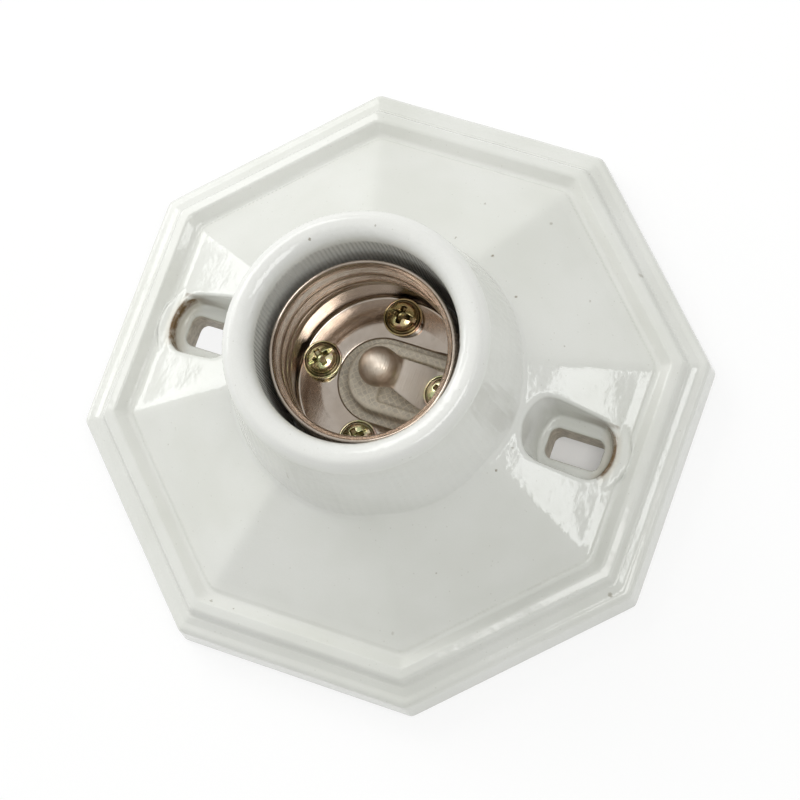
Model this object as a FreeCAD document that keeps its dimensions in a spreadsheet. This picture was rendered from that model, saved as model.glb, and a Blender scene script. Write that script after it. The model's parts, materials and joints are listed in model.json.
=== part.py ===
import FreeCAD, Part
import math
import os
import Sketcher

Vector = FreeCAD.Vector
Rotation = FreeCAD.Rotation
Placement = FreeCAD.Placement

# Driving dimensions, in millimetres unless a name says degrees.
SIZES = {
    # Octagonal foot: distances are measured from the axis to the middle of a side.
    "plate_apothem": 45.0,
    "edge_draft": 0.45,
    "ledge_height": 6.25,
    "edge_round": 1.35,
    "ledge_width": 2.8,
    "ledge_hollow_round": 0.7,
    "bead_run": 1.0,
    "bead_height": 8.9,
    "bead_width": 2.15,
    "bead_round": 0.9,
    "groove_run": 1.7,
    "groove_depth": 1.8,
    "groove_round": 0.6,
    "facet_step": 0.95,
    "facet_step_height": 1.35,
    "facet_round": 1.2,
    "moulding_inner_apothem": 18.2,
    "corner_round": 1.6,
    # Collar: a tapered ring with a rounded lip.
    "collar_foot_wall": 7.1,
    "collar_foot_height": 17.25,
    "collar_top_wall": 4.5,
    "collar_height": 36.35,
    "lip_shoulder_drop": 1.55,
    "lip_shoulder_round": 0.45,
    "lip_shoulder_run": 1.2,
    "lip_crest_share": 0.33,
    "lip_inner_share": 0.7,
    "bore_clearance": 1.3,
    "bore_floor_height": 11.8,
    "web_underside_height": 7.5,
    # Unglazed boss on the floor of the bore.
    "boss_half_width": 5.35,
    "boss_nose_x": 0.35,
    "boss_end_x": 12.1,
    "boss_end_round": 3.0,
    "boss_top_height": 15.7,
    "channel_half_width": 3.7,
    "channel_start_x": 0.8,
    "channel_floor_height": 14.5,
    # Mounting slots, each in a tapered recess in a facet.
    "slot_spacing": 59.0,
    "slot_length": 8.4,
    "slot_width": 4.9,
    "recess_seat_height": 6.3,
    "recess_seat_length": 10.6,
    "recess_seat_width": 8.2,
    "recess_mouth_height": 19.0,
    "recess_mouth_length": 15.4,
    "recess_mouth_width": 11.4,
    "recess_corner_round": 2.6,
    "recess_rim_radius": 6.9,
    "recess_rim_shift": 1.75,
    "recess_rim_rise": 2.0,
    # Hollow back.
    "chamber_radius": 19.6,
    "hollow_outer_radius": 36.5,
    "hollow_rim_height": 2.0,
    "hollow_roof_radius": 23.0,
    "hollow_roof_height": 9.7,
    "hollow_sweep_degrees": 134.0,
    # Rolled screw shell.
    "shell_radius": 13.6,
    "shell_wall": 0.4,
    "shell_rim_height": 30.0,
    "shell_corner_round": 1.2,
    "shell_gap_half_width": 6.5,
    "shell_gap_nose_x": -0.5,
    "shell_gap_end_x": 12.3,
    "shell_gap_end_round": 4.0,
    # Centre contact: a bent strip with a pressed dome.
    "strip_thickness": 0.6,
    "strip_root_half_width": 3.3,
    "strip_neck_half_width": 2.2,
    "strip_end_x": 12.1,
    "strip_bend_x": 6.9,
    "strip_bend_round": 0.5,
    "strip_knee_x": 4.3,
    "strip_knee_height": 20.4,
    "strip_knee_round": 1.8,
    "strip_tip_height": 21.3,
    "dome_x": 0.9,
    "dome_radius": 3.05,
    # Screws inside the shell.
    "screw_circle_radius": 9.8,
    "contact_screw_x": 10.2,
    "screw_shank_radius": 1.5,
    "screw_flange_radius": 2.9,
    "screw_flange_height": 0.5,
    "screw_head_radius": 2.35,
    "screw_head_height": 2.0,
    "screw_head_round": 0.8,
    "screw_slot_width": 0.75,
    "screw_slot_depth": 0.55,
    "screw_cross_span": 2.6,
    "screw_cross_depth": 1.3,
    "screw_tip_below_nut": 0.8,
    "thread_clearance": 0.05,
    "hole_clearance": 0.3,
    # Nuts under the web, and a split lock washer under each screw head.
    "nut_across_flats": 5.5,
    "nut_height": 2.4,
    "lock_washer_radius": 2.5,
    "lock_washer_height": 0.8,
    "lock_washer_split": 0.5,
    # Terminal plates, wire screws and clamp washers under the web.
    "terminal_width": 8.0,
    "terminal_thickness": 1.2,
    "terminal_near_end": 4.2,
    "terminal_far_end": 12.6,
    "terminal_round": 1.5,
    "wire_screw_offset": 8.4,
    "wire_screw_shank_radius": 1.75,
    "wire_screw_length": 3.9,
    "wire_screw_head_radius": 3.1,
    "wire_screw_head_height": 2.2,
    "wire_screw_tip_room": 0.5,
    "clamp_width": 7.4,
    "clamp_thickness": 1.0,
    "clamp_lip_height": 0.7,
    "clamp_lip_width": 0.5,
}

TURN_DEGREES = 360.0
OCTAGON_STEP_DEGREES = 45.0
LIVE_SIDE_DEGREES = 180.0


class Size:
    """A length held both as a number and as the expression that drives it."""

    def __init__(self, value, text=None):
        self.value = float(value)
        self.text = text if text is not None else repr(float(value))

    def __add__(self, other):
        other = as_size(other)
        return Size(self.value + other.value, "(%s + %s)" % (self.text, other.text))

    def __radd__(self, other):
        return as_size(other) + self

    def __sub__(self, other):
        other = as_size(other)
        return Size(self.value - other.value, "(%s - %s)" % (self.text, other.text))

    def __rsub__(self, other):
        return as_size(other) - self

    def __mul__(self, other):
        other = as_size(other)
        return Size(self.value * other.value, "(%s * %s)" % (self.text, other.text))

    def __rmul__(self, other):
        return as_size(other) * self

    def __truediv__(self, other):
        other = as_size(other)
        return Size(self.value / other.value, "(%s / %s)" % (self.text, other.text))

    def __neg__(self):
        return Size(-self.value, "(0 - %s)" % self.text)


class SizeTable:
    """Gives each named size of the sheet as a Size."""

    def __getattr__(self, name):
        return Size(SIZES[name], "sizes." + name)


def as_size(number):
    return number if isinstance(number, Size) else Size(number)


def write_sheet(document):
    sheet = document.addObject("Spreadsheet::Sheet", "sizes")
    for row, (alias, value) in enumerate(SIZES.items(), start=1):
        sheet.set("A%d" % row, alias)
        sheet.set("B%d" % row, str(value))
        sheet.setAlias("B%d" % row, alias)
    document.recompute()


document = FreeCAD.newDocument("lamp_socket")
write_sheet(document)
s = SizeTable()
ZERO = Size(0.0)
HALF_SIDE = Size(math.tan(math.radians(22.5)), "tan(22.5 deg)")


# Small tools for sketches and features

def bind(target, prop, length):
    target.setExpression(prop, as_size(length).text)


def place(target, x=ZERO, y=ZERO, z=ZERO, rotation=None):
    x, y, z = as_size(x), as_size(y), as_size(z)
    target.Placement = Placement(Vector(x.value, y.value, z.value), rotation or Rotation())
    for axis, length in zip("xyz", (x, y, z)):
        bind(target, "Placement.Base." + axis, length)


def new_body(label):
    body = document.addObject("PartDesign::Body", label)
    body.Label = label
    return body


def origin_feature(body, role):
    return next(item for item in body.Origin.OriginFeatures if item.Role == role)


def new_sketch(body, name, role="XY_Plane", height=None):
    sketch = body.newObject("Sketcher::SketchObject", name)
    sketch.AttachmentSupport = [(origin_feature(body, role), "")]
    sketch.MapMode = "FlatFace"
    if height is not None:
        height = as_size(height)
        sketch.AttachmentOffset = Placement(Vector(0, 0, height.value), Rotation())
        bind(sketch, "AttachmentOffset.Base.z", height)
    return sketch


def constrain(sketch, length, kind, *items):
    """Adds a constraint whose size follows the sheet."""
    length = as_size(length)
    index = sketch.addConstraint(Sketcher.Constraint(kind, *items, length.value))
    sketch.setExpression("Constraints[%d]" % index, length.text)


def pin_point(sketch, x, y, geometry, end):
    constrain(sketch, x, "DistanceX", -1, 1, geometry, end)
    constrain(sketch, y, "DistanceY", -1, 1, geometry, end)


def corner_arc(before, corner, after, radius):
    """The arc of that radius that rounds a corner, and the points where it starts and ends."""
    back = (before - corner).normalize()
    ahead = (after - corner).normalize()
    half = back.getAngle(ahead) / 2
    reach = radius / math.tan(half)
    middle = (back + ahead).normalize()
    centre = corner + middle * (radius / math.sin(half))
    start = corner + back * reach
    end = corner + ahead * reach
    return Part.Arc(start, centre - middle * radius, end), start, end


def draw_outline(sketch, corners):
    """A closed outline through (x, y) or (x, y, rounding radius) corners, all bound to the sheet."""
    corners = [tuple(as_size(part) for part in corner) for corner in corners]
    points = [Vector(corner[0].value, corner[1].value, 0) for corner in corners]
    count = len(corners)
    arcs = {}
    starts = list(points)
    ends = list(points)
    for index, corner in enumerate(corners):
        if len(corner) == 3:
            arc, start, end = corner_arc(points[index - 1], points[index],
                                         points[(index + 1) % count], corner[2].value)
            arcs[index] = arc
            ends[index] = start
            starts[index] = end
    lines = []
    for index in range(count):
        line = Part.LineSegment(starts[index], ends[(index + 1) % count])
        lines.append(sketch.addGeometry(line, False))
    for index, corner in enumerate(corners):
        before, after = lines[index - 1], lines[index]
        if index not in arcs:
            sketch.addConstraint(Sketcher.Constraint("Coincident", before, 2, after, 1))
            pin_point(sketch, corner[0], corner[1], after, 1)
            continue
        arc = sketch.addGeometry(arcs[index], False)
        forward = sketch.getPoint(arc, 1).distanceToPoint(ends[index]) < 1e-6
        first, last = (1, 2) if forward else (2, 1)
        sketch.addConstraint(Sketcher.Constraint("Tangent", before, 2, arc, first))
        sketch.addConstraint(Sketcher.Constraint("Tangent", arc, last, after, 1))
        constrain(sketch, corner[2], "Radius", arc)
        tip = sketch.addGeometry(Part.Point(points[index]), True)
        sketch.addConstraint(Sketcher.Constraint("PointOnObject", tip, 1, before))
        sketch.addConstraint(Sketcher.Constraint("PointOnObject", tip, 1, after))
        pin_point(sketch, corner[0], corner[1], tip, 1)


def draw_circle(sketch, x, y, radius):
    x, y, radius = as_size(x), as_size(y), as_size(radius)
    circle = sketch.addGeometry(Part.Circle(Vector(x.value, y.value, 0), Vector(0, 0, 1), radius.value), False)
    constrain(sketch, radius, "Radius", circle)
    pin_point(sketch, x, y, circle, 3)


def draw_obround(sketch, x, y, length, width):
    """A slot along X with half-round ends, bound to the sheet."""
    x, y, length, width = as_size(x), as_size(y), as_size(length), as_size(width)
    radius, reach = width / 2, (length - width) / 2
    left, right = (x - reach).value, (x + reach).value
    low, high = (y - radius).value, (y + radius).value
    bottom = sketch.addGeometry(Part.LineSegment(Vector(left, low, 0), Vector(right, low, 0)), False)
    east = sketch.addGeometry(Part.Arc(Vector(right, low, 0), Vector(right + radius.value, y.value, 0),
                                       Vector(right, high, 0)), False)
    top = sketch.addGeometry(Part.LineSegment(Vector(right, high, 0), Vector(left, high, 0)), False)
    west = sketch.addGeometry(Part.Arc(Vector(left, high, 0), Vector(left - radius.value, y.value, 0),
                                       Vector(left, low, 0)), False)
    sides = (bottom, east, top, west)
    for before, after in zip(sides, sides[1:] + sides[:1]):
        sketch.addConstraint(Sketcher.Constraint("Tangent", before, 2, after, 1))
    constrain(sketch, radius, "Radius", east)
    pin_point(sketch, x + reach, y, east, 3)
    pin_point(sketch, x - reach, y, west, 3)


def octagon_corners(apothem):
    """The eight corners of an octagon whose sides face along and across the axes."""
    half = apothem * HALF_SIDE
    quarter = [(apothem, half), (half, apothem)]
    return (quarter + [(-half, apothem), (-apothem, half)] + [(-apothem, -half), (-half, -apothem)]
            + [(half, -apothem), (apothem, -half)])


def pad(body, name, sketch, length, midplane=False, reverse=False):
    feature = body.newObject("PartDesign::Pad", name)
    feature.Profile = sketch
    bind(feature, "Length", length)
    feature.Midplane = midplane
    feature.Reversed = reverse
    document.recompute()
    return feature


def pocket(body, name, sketch, length=None, reverse=False, midplane=False):
    """Cuts a sketch into the body; without a length it goes right through both ways."""
    before = body.Shape.Volume
    feature = body.newObject("PartDesign::Pocket", name)
    feature.Profile = sketch
    if length is None:
        feature.Type = "ThroughAll"
        feature.Midplane = True
    else:
        bind(feature, "Length", length)
        feature.Midplane = midplane
    feature.Reversed = reverse
    document.recompute()
    if not feature.Shape.Volume < before - 1e-6:
        raise ValueError(name + " removes nothing")
    return feature


def revolve(body, name, sketch, axis=None, kind="Revolution", angle=TURN_DEGREES):
    feature = body.newObject("PartDesign::" + kind, name)
    feature.Profile = sketch
    feature.ReferenceAxis = axis or (origin_feature(body, "Z_Axis"), [""])
    feature.Midplane = angle != TURN_DEGREES
    if isinstance(angle, Size):
        bind(feature, "Angle", angle)
    else:
        feature.Angle = angle
    document.recompute()
    return feature


def half_turn_copy(body, name, features):
    """Repeats features on the opposite side of the axis."""
    pattern = body.newObject("PartDesign::PolarPattern", name)
    pattern.Originals = features
    pattern.Axis = (origin_feature(body, "Z_Axis"), [""])
    pattern.Angle = TURN_DEGREES
    pattern.Occurrences = 2
    body.Tip = pattern
    document.recompute()
    return pattern


def ring(label, outer, inner, height):
    """A flat ring as the difference of two cylinders."""
    disc = document.addObject("Part::Cylinder", label + "_disc")
    bind(disc, "Radius", outer)
    bind(disc, "Height", height)
    hole = document.addObject("Part::Cylinder", label + "_hole")
    bind(hole, "Radius", inner)
    bind(hole, "Height", height)
    cut = document.addObject("Part::Cut", label)
    cut.Base = disc
    cut.Tool = hole
    return cut


# Heights and places that several pieces share

BORE_RADIUS = s.shell_radius + s.bore_clearance
COLLAR_FOOT_RADIUS = BORE_RADIUS + s.collar_foot_wall
COLLAR_TOP_RADIUS = BORE_RADIUS + s.collar_top_wall
LIP_CREST_RADIUS = COLLAR_TOP_RADIUS - s.lip_shoulder_run
EDGE_TOP = s.plate_apothem - s.edge_draft
LEDGE_INNER = EDGE_TOP - s.ledge_width
BEAD_OUTER = LEDGE_INNER - s.bead_run
BEAD_INNER = BEAD_OUTER - s.bead_width
GROOVE_APOTHEM = BEAD_INNER - s.groove_run
GROOVE_HEIGHT = s.bead_height - s.groove_depth
FACET_FOOT = GROOVE_APOTHEM - s.facet_step
FACET_FOOT_HEIGHT = GROOVE_HEIGHT + s.facet_step_height
FACET_RISE = (s.collar_foot_height - FACET_FOOT_HEIGHT) / (FACET_FOOT - COLLAR_FOOT_RADIUS)
SHELL_FLOOR_TOP = s.bore_floor_height + s.shell_wall
STRIP_ROOT_TOP = s.channel_floor_height + s.strip_thickness
SLOT_X = s.slot_spacing / 2
TERMINAL_UNDERSIDE = s.web_underside_height - s.terminal_thickness
CLAMP_UNDERSIDE = TERMINAL_UNDERSIDE - s.clamp_thickness
NUT_UNDERSIDE = s.web_underside_height - s.nut_height
SHELL_SCREW_SEAT = SHELL_FLOOR_TOP + s.lock_washer_height
CONTACT_SCREW_SEAT = STRIP_ROOT_TOP + s.lock_washer_height
HOLE_RADIUS = s.screw_shank_radius + s.hole_clearance
TAPPED_RADIUS = s.screw_shank_radius + s.thread_clearance
WIRE_TAPPED_RADIUS = s.wire_screw_shank_radius + s.thread_clearance


# The porcelain body

def moulded_foot(body):
    """The octagonal foot: its edge moulding carried round the octagon with mitred corners."""
    path = new_sketch(body, "foot_path")
    corners = octagon_corners(s.plate_apothem)
    start = (s.plate_apothem, ZERO)
    draw_outline(path, [start] + corners)
    section = new_sketch(body, "foot_section", "XZ_Plane")
    inner = s.moulding_inner_apothem
    inner_top = FACET_FOOT_HEIGHT + (FACET_FOOT - inner) * FACET_RISE
    draw_outline(section, [
        (inner, ZERO),
        (s.plate_apothem, ZERO),
        (EDGE_TOP, s.ledge_height, s.edge_round),
        (LEDGE_INNER, s.ledge_height, s.ledge_hollow_round),
        (BEAD_OUTER, s.bead_height, s.bead_round),
        (BEAD_INNER, s.bead_height, s.bead_round),
        (GROOVE_APOTHEM, GROOVE_HEIGHT, s.groove_round),
        (FACET_FOOT, FACET_FOOT_HEIGHT, s.facet_round),
        (inner, inner_top),
    ])
    document.recompute()
    foot = body.newObject("PartDesign::AdditivePipe", "foot")
    foot.Profile = section
    foot.Spine = (path, ["Edge%d" % (number + 1) for number in range(len(corners) + 1)])
    foot.Transition = "Right corner"
    document.recompute()
    return foot


def collar_and_floor(body):
    """The tapered collar with its lip, and the thick floor of the bore, turned about the axis."""
    section = new_sketch(body, "collar_section", "XZ_Plane")
    shoulder = s.collar_height - s.lip_shoulder_drop
    lip_width = LIP_CREST_RADIUS - BORE_RADIUS
    draw_outline(section, [
        (ZERO, ZERO),
        (COLLAR_FOOT_RADIUS - 1, ZERO),
        (COLLAR_FOOT_RADIUS, s.collar_foot_height),
        (COLLAR_TOP_RADIUS, shoulder, s.lip_shoulder_round),
        (LIP_CREST_RADIUS, s.collar_height, lip_width * s.lip_crest_share),
        (BORE_RADIUS, s.collar_height, lip_width * s.lip_inner_share),
        (BORE_RADIUS, s.bore_floor_height),
        (ZERO, s.bore_floor_height),
    ])
    return revolve(body, "collar", section)


def contact_boss(body):
    """The boss that stands through the shell floor, with the channel for the contact strip."""
    plan = new_sketch(body, "boss_plan", height=s.bore_floor_height)
    draw_u_shape(plan, s.boss_nose_x, s.boss_end_x, s.boss_half_width, s.boss_end_round)
    pad(body, "boss", plan, s.boss_top_height - s.bore_floor_height)
    channel = new_sketch(body, "channel_plan", height=s.boss_top_height)
    half = s.channel_half_width
    draw_outline(channel, [
        (s.channel_start_x, -half),
        (BORE_RADIUS, -half),
        (BORE_RADIUS, half),
        (s.channel_start_x, half),
    ])
    return pocket(body, "channel", channel, s.boss_top_height - s.channel_floor_height)


def draw_u_shape(sketch, nose_x, end_x, half_width, end_round):
    """A strip along the first axis with one round end; the corners of the other end are rounded too."""
    x, end = nose_x.value, end_x.value
    half, radius = half_width.value, end_round.value
    slant = radius * math.sqrt(0.5)
    bend_x, bend_y = end - radius, half - radius

    def arc(start, middle, finish):
        return sketch.addGeometry(Part.Arc(Vector(*start, 0), Vector(*middle, 0), Vector(*finish, 0)), False)

    def line(start, finish):
        return sketch.addGeometry(Part.LineSegment(Vector(*start, 0), Vector(*finish, 0)), False)

    # The sides are drawn in turn: the round nose first, then anticlockwise from its lower end.
    nose = arc((x, half), (x - half, 0), (x, -half))
    bottom = line((x, -half), (bend_x, -half))
    low_bend = arc((bend_x, -half), (bend_x + slant, -bend_y - slant), (end, -bend_y))
    side = line((end, -bend_y), (end, bend_y))
    high_bend = arc((end, bend_y), (bend_x + slant, bend_y + slant), (bend_x, half))
    top = line((bend_x, half), (x, half))
    loop = (nose, bottom, low_bend, side, high_bend, top)
    for before, after in zip(loop, loop[1:] + loop[:1]):
        first = 2 if sketch.getPoint(before, 2).distanceToPoint(sketch.getPoint(after, 1)) < 1e-6 else 1
        sketch.addConstraint(Sketcher.Constraint("Tangent", before, first, after, 1))
    sketch.addConstraint(Sketcher.Constraint("Vertical", side))
    pin_point(sketch, nose_x, ZERO, nose, 3)
    constrain(sketch, half_width, "Radius", nose)
    constrain(sketch, end_round, "Radius", low_bend)
    constrain(sketch, end_round, "Radius", high_bend)
    constrain(sketch, end_x, "DistanceX", -1, 1, side, 1)
    sketch.addConstraint(Sketcher.Constraint("Horizontal", bottom))


def recess_outline(length, width, radius):
    """A rounded rectangle about the middle of the slot."""
    half_length, half_width = length / 2, width / 2
    return [
        (SLOT_X - half_length, -half_width, radius),
        (SLOT_X + half_length, -half_width, radius),
        (SLOT_X + half_length, half_width, radius),
        (SLOT_X - half_length, half_width, radius),
    ]


def mounting_slots(body):
    """A rim across the groove, a tapered recess with a seat for the screw head, and the slot."""
    rim_plan = new_sketch(body, "recess_rim_plan", height=s.recess_seat_height)
    draw_circle(rim_plan, SLOT_X + s.recess_rim_shift, ZERO, s.recess_rim_radius)
    rim = pad(body, "recess_rim", rim_plan, s.recess_rim_rise)
    seat = new_sketch(body, "recess_seat", height=s.recess_seat_height)
    draw_outline(seat, recess_outline(s.recess_seat_length, s.recess_seat_width, s.recess_corner_round))
    mouth = new_sketch(body, "recess_mouth", height=s.recess_mouth_height)
    draw_outline(mouth, recess_outline(s.recess_mouth_length, s.recess_mouth_width, s.recess_corner_round))
    document.recompute()
    recess = body.newObject("PartDesign::SubtractiveLoft", "recess")
    recess.Profile = seat
    recess.Sections = [mouth]
    recess.Ruled = True
    document.recompute()
    through = new_sketch(body, "slot_plan")
    draw_obround(through, SLOT_X, ZERO, s.slot_length, s.slot_width)
    slot = pocket(body, "slot", through, s.recess_seat_height + 1, reverse=True)
    return half_turn_copy(body, "slots", [rim, recess, slot])


def hollow_back(body):
    """The wiring chamber under the bore, and a hollow under the facets on each side of the slots."""
    chamber = new_sketch(body, "chamber_plan")
    draw_circle(chamber, ZERO, ZERO, s.chamber_radius)
    pocket(body, "chamber", chamber, s.web_underside_height, reverse=True)
    section = new_sketch(body, "hollow_section", "YZ_Plane")
    inner = s.chamber_radius - 1
    draw_outline(section, [
        (inner, -Size(1)),
        (s.hollow_outer_radius, -Size(1)),
        (s.hollow_outer_radius, s.hollow_rim_height),
        (s.hollow_roof_radius, s.hollow_roof_height),
        (inner, s.hollow_roof_height),
    ])
    hollow = revolve(body, "hollow", section, kind="Groove", angle=s.hollow_sweep_degrees)
    return half_turn_copy(body, "hollows", [hollow])


def screw_holes(body):
    """Clear holes for the four screws, and blind holes over the tips of the wire screws."""
    plan = new_sketch(body, "screw_hole_plan")
    reach = s.screw_circle_radius
    for x, y in ((ZERO, reach), (ZERO, -reach), (-reach, ZERO), (s.contact_screw_x, ZERO)):
        draw_circle(plan, x, y, HOLE_RADIUS)
    pocket(body, "screw_holes", plan, s.boss_top_height + 1, reverse=True)
    tips = new_sketch(body, "wire_screw_tip_plan")
    draw_circle(tips, -reach, s.wire_screw_offset, s.wire_screw_shank_radius + s.hole_clearance)
    draw_circle(tips, s.contact_screw_x, -s.wire_screw_offset, s.wire_screw_shank_radius + s.hole_clearance)
    top = CLAMP_UNDERSIDE + s.wire_screw_length + s.wire_screw_tip_room
    return pocket(body, "wire_screw_tips", tips, top, reverse=True)


def build_porcelain_body():
    body = new_body("porcelain_body")
    moulded_foot(body)
    collar_and_floor(body)
    contact_boss(body)
    mounting_slots(body)
    hollow_back(body)
    screw_holes(body)
    return body


# The screw shell

def build_screw_shell():
    body = new_body("screw_shell")
    section = new_sketch(body, "shell_section", "XZ_Plane")
    inner = s.shell_radius - s.shell_wall
    draw_outline(section, [
        (ZERO, s.bore_floor_height),
        (s.shell_radius, s.bore_floor_height, s.shell_corner_round),
        (s.shell_radius, s.shell_rim_height),
        (inner, s.shell_rim_height),
        (inner, SHELL_FLOOR_TOP, s.shell_corner_round - s.shell_wall),
        (ZERO, SHELL_FLOOR_TOP),
    ])
    revolve(body, "shell", section)
    gap = new_sketch(body, "shell_gap_plan", height=s.bore_floor_height)
    draw_u_shape(gap, s.shell_gap_nose_x, s.shell_gap_end_x, s.shell_gap_half_width, s.shell_gap_end_round)
    pocket(body, "shell_gap", gap, s.shell_wall * 4, midplane=True)
    holes = new_sketch(body, "shell_hole_plan", height=s.bore_floor_height)
    reach = s.screw_circle_radius
    for x, y in ((ZERO, reach), (ZERO, -reach), (-reach, ZERO)):
        draw_circle(holes, x, y, TAPPED_RADIUS)
    pocket(body, "shell_holes", holes, s.shell_wall * 2, midplane=True)
    return body


# The centre contact

def build_centre_contact():
    body = new_body("centre_contact")
    side = new_sketch(body, "strip_side", "XZ_Plane")
    low = s.channel_floor_height
    high = STRIP_ROOT_TOP
    thick = s.strip_thickness
    draw_outline(side, [
        (s.strip_end_x, low),
        (s.strip_end_x, high),
        (s.strip_bend_x, high, s.strip_bend_round),
        (s.strip_knee_x, s.strip_knee_height, s.strip_knee_round),
        (s.dome_x, s.strip_tip_height),
        (s.dome_x, s.strip_tip_height - thick),
        (s.strip_knee_x - thick, s.strip_knee_height - thick, s.strip_knee_round - thick),
        (s.strip_bend_x - thick, low, s.strip_bend_round + thick),
    ])
    pad(body, "strip", side, s.strip_root_half_width * 2, midplane=True)
    for name, sign in (("north", 1), ("south", -1)):
        trim = new_sketch(body, "strip_trim_" + name)
        wide = sign * s.strip_root_half_width
        beyond = sign * (s.strip_root_half_width + 1)
        neck = sign * s.strip_neck_half_width
        draw_outline(trim, [
            (s.strip_bend_x, wide),
            (s.dome_x + s.dome_radius, neck),
            (ZERO, neck),
            (ZERO, beyond),
            (s.strip_bend_x, beyond),
        ])
        pocket(body, "strip_taper_" + name, trim)
    add_dome(body)
    hole = new_sketch(body, "strip_hole_plan", height=low)
    draw_circle(hole, s.contact_screw_x, ZERO, TAPPED_RADIUS)
    pocket(body, "strip_hole", hole, thick * 2, midplane=True)
    return body


def add_dome(body):
    """The pressed dome: a thin hemisphere standing on a short wall, turned about its own axis."""
    section = new_sketch(body, "dome_section", "XZ_Plane")
    foot = s.strip_tip_height - s.strip_thickness
    outer, inner = s.dome_radius, s.dome_radius - s.strip_thickness
    x, z = s.dome_x, s.strip_tip_height
    diagonal = math.sqrt(0.5)

    def at(radius, across, up):
        return Vector(x.value + radius.value * across, z.value + radius.value * up, 0)

    wall = sketch_line(section, (x + outer, foot), (x + outer, z))
    crown = section.addGeometry(Part.Arc(at(outer, 1, 0), at(outer, diagonal, diagonal), at(outer, 0, 1)), False)
    middle = sketch_line(section, (x, z + outer), (x, z + inner))
    hollow = section.addGeometry(Part.Arc(at(inner, 1, 0), at(inner, diagonal, diagonal), at(inner, 0, 1)), False)
    inside = sketch_line(section, (x + inner, z), (x + inner, foot))
    bottom = sketch_line(section, (x + inner, foot), (x + outer, foot))
    joints = ((wall, 2, crown, 1), (crown, 2, middle, 1), (middle, 2, hollow, 2),
              (hollow, 1, inside, 1), (inside, 2, bottom, 1), (bottom, 2, wall, 1))
    for first, first_end, second, second_end in joints:
        section.addConstraint(Sketcher.Constraint("Coincident", first, first_end, second, second_end))
    pin_point(section, x, z, crown, 3)
    pin_point(section, x, z, hollow, 3)
    constrain(section, outer, "Radius", crown)
    constrain(section, inner, "Radius", hollow)
    for line in (wall, inside, middle):
        section.addConstraint(Sketcher.Constraint("Vertical", line))
    section.addConstraint(Sketcher.Constraint("Horizontal", bottom))
    constrain(section, x, "DistanceX", -1, 1, middle, 1)
    constrain(section, z, "DistanceY", -1, 1, wall, 2)
    constrain(section, z, "DistanceY", -1, 1, inside, 1)
    constrain(section, foot, "DistanceY", -1, 1, bottom, 1)
    section.addGeometry(Part.LineSegment(Vector(x.value, 0, 0), Vector(x.value, z.value, 0)), True)
    axis = section.GeometryCount - 1
    section.addConstraint(Sketcher.Constraint("Vertical", axis))
    pin_point(section, x, ZERO, axis, 1)
    constrain(section, z, "DistanceY", -1, 1, axis, 2)
    document.recompute()
    return revolve(body, "dome", section, axis=(section, ["Axis0"]))


def sketch_line(sketch, start, end):
    first, last = (Vector(as_size(point[0]).value, as_size(point[1]).value, 0) for point in (start, end))
    return sketch.addGeometry(Part.LineSegment(first, last), False)


# Screws, nuts, washers and terminals

def build_screw(label, shank_radius, shank_length, head_radius, head_height, flange_radius=None):
    """A pan-head screw with a slot and a cross recess; its seat is at the body's own origin, head up."""
    body = new_body(label)
    section = new_sketch(body, "section", "XZ_Plane")
    head = [(head_radius, head_height, s.screw_head_round), (ZERO, head_height)]
    if flange_radius is None:
        foot = [(head_radius, ZERO)]
    else:
        foot = [(flange_radius, ZERO), (flange_radius, s.screw_flange_height),
                (head_radius, s.screw_flange_height)]
    tip = shank_radius / 3
    draw_outline(section, [(ZERO, -shank_length), (shank_radius - tip, -shank_length),
                           (shank_radius, tip - shank_length), (shank_radius, ZERO)] + foot + head)
    revolve(body, "turned", section)
    slot = new_sketch(body, "slot_plan", height=head_height)
    half = s.screw_slot_width / 2
    draw_outline(slot, [(-head_radius, -half), (head_radius, -half), (head_radius, half), (-head_radius, half)])
    pocket(body, "slot", slot, s.screw_slot_depth)
    cross = new_sketch(body, "cross_plan", height=head_height)
    reach = s.screw_cross_span / 2
    draw_outline(cross, [(half, half), (half, reach), (-half, reach), (-half, half), (-reach, half),
                         (-reach, -half), (-half, -half), (-half, -reach), (half, -reach),
                         (half, -half), (reach, -half), (reach, half)])
    pocket(body, "cross", cross, s.screw_cross_depth)
    return body


def build_inner_screws():
    """The four screws in the shell; each is turned to the angle at which it was left."""
    nut_tip = NUT_UNDERSIDE - s.screw_tip_below_nut
    plate_tip = TERMINAL_UNDERSIDE - s.screw_tip_below_nut
    reach = s.screw_circle_radius
    screws = (
        ("shell_screw_north", nut_tip, ZERO, reach, SHELL_SCREW_SEAT, 85),
        ("shell_screw_south", nut_tip, ZERO, -reach, SHELL_SCREW_SEAT, 40),
        ("neutral_link_screw", plate_tip, -reach, ZERO, SHELL_SCREW_SEAT, 52),
        ("contact_link_screw", plate_tip, s.contact_screw_x, ZERO, CONTACT_SCREW_SEAT, 70),
    )
    pieces = []
    for label, tip, x, y, seat, degrees in screws:
        screw = build_screw(label, s.screw_shank_radius, seat - tip, s.screw_head_radius,
                            s.screw_head_height, s.screw_flange_radius)
        place(screw, x, y, seat, Rotation(Vector(0, 0, 1), degrees))
        pieces.append(screw)
    return pieces


def build_nut(label, y):
    """A hexagon nut hard against its lock washer."""
    prism = document.addObject("Part::Prism", label + "_blank")
    prism.Polygon = 6
    bind(prism, "Circumradius", s.nut_across_flats / 2 / Size(math.cos(math.radians(30)), "cos(30 deg)"))
    bind(prism, "Height", s.nut_height)
    hole = document.addObject("Part::Cylinder", label + "_hole")
    bind(hole, "Radius", TAPPED_RADIUS)
    bind(hole, "Height", s.nut_height)
    nut = document.addObject("Part::Cut", label)
    nut.Base = prism
    nut.Tool = hole
    nut.Label = label
    place(nut, ZERO, y, NUT_UNDERSIDE)
    return nut


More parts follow.
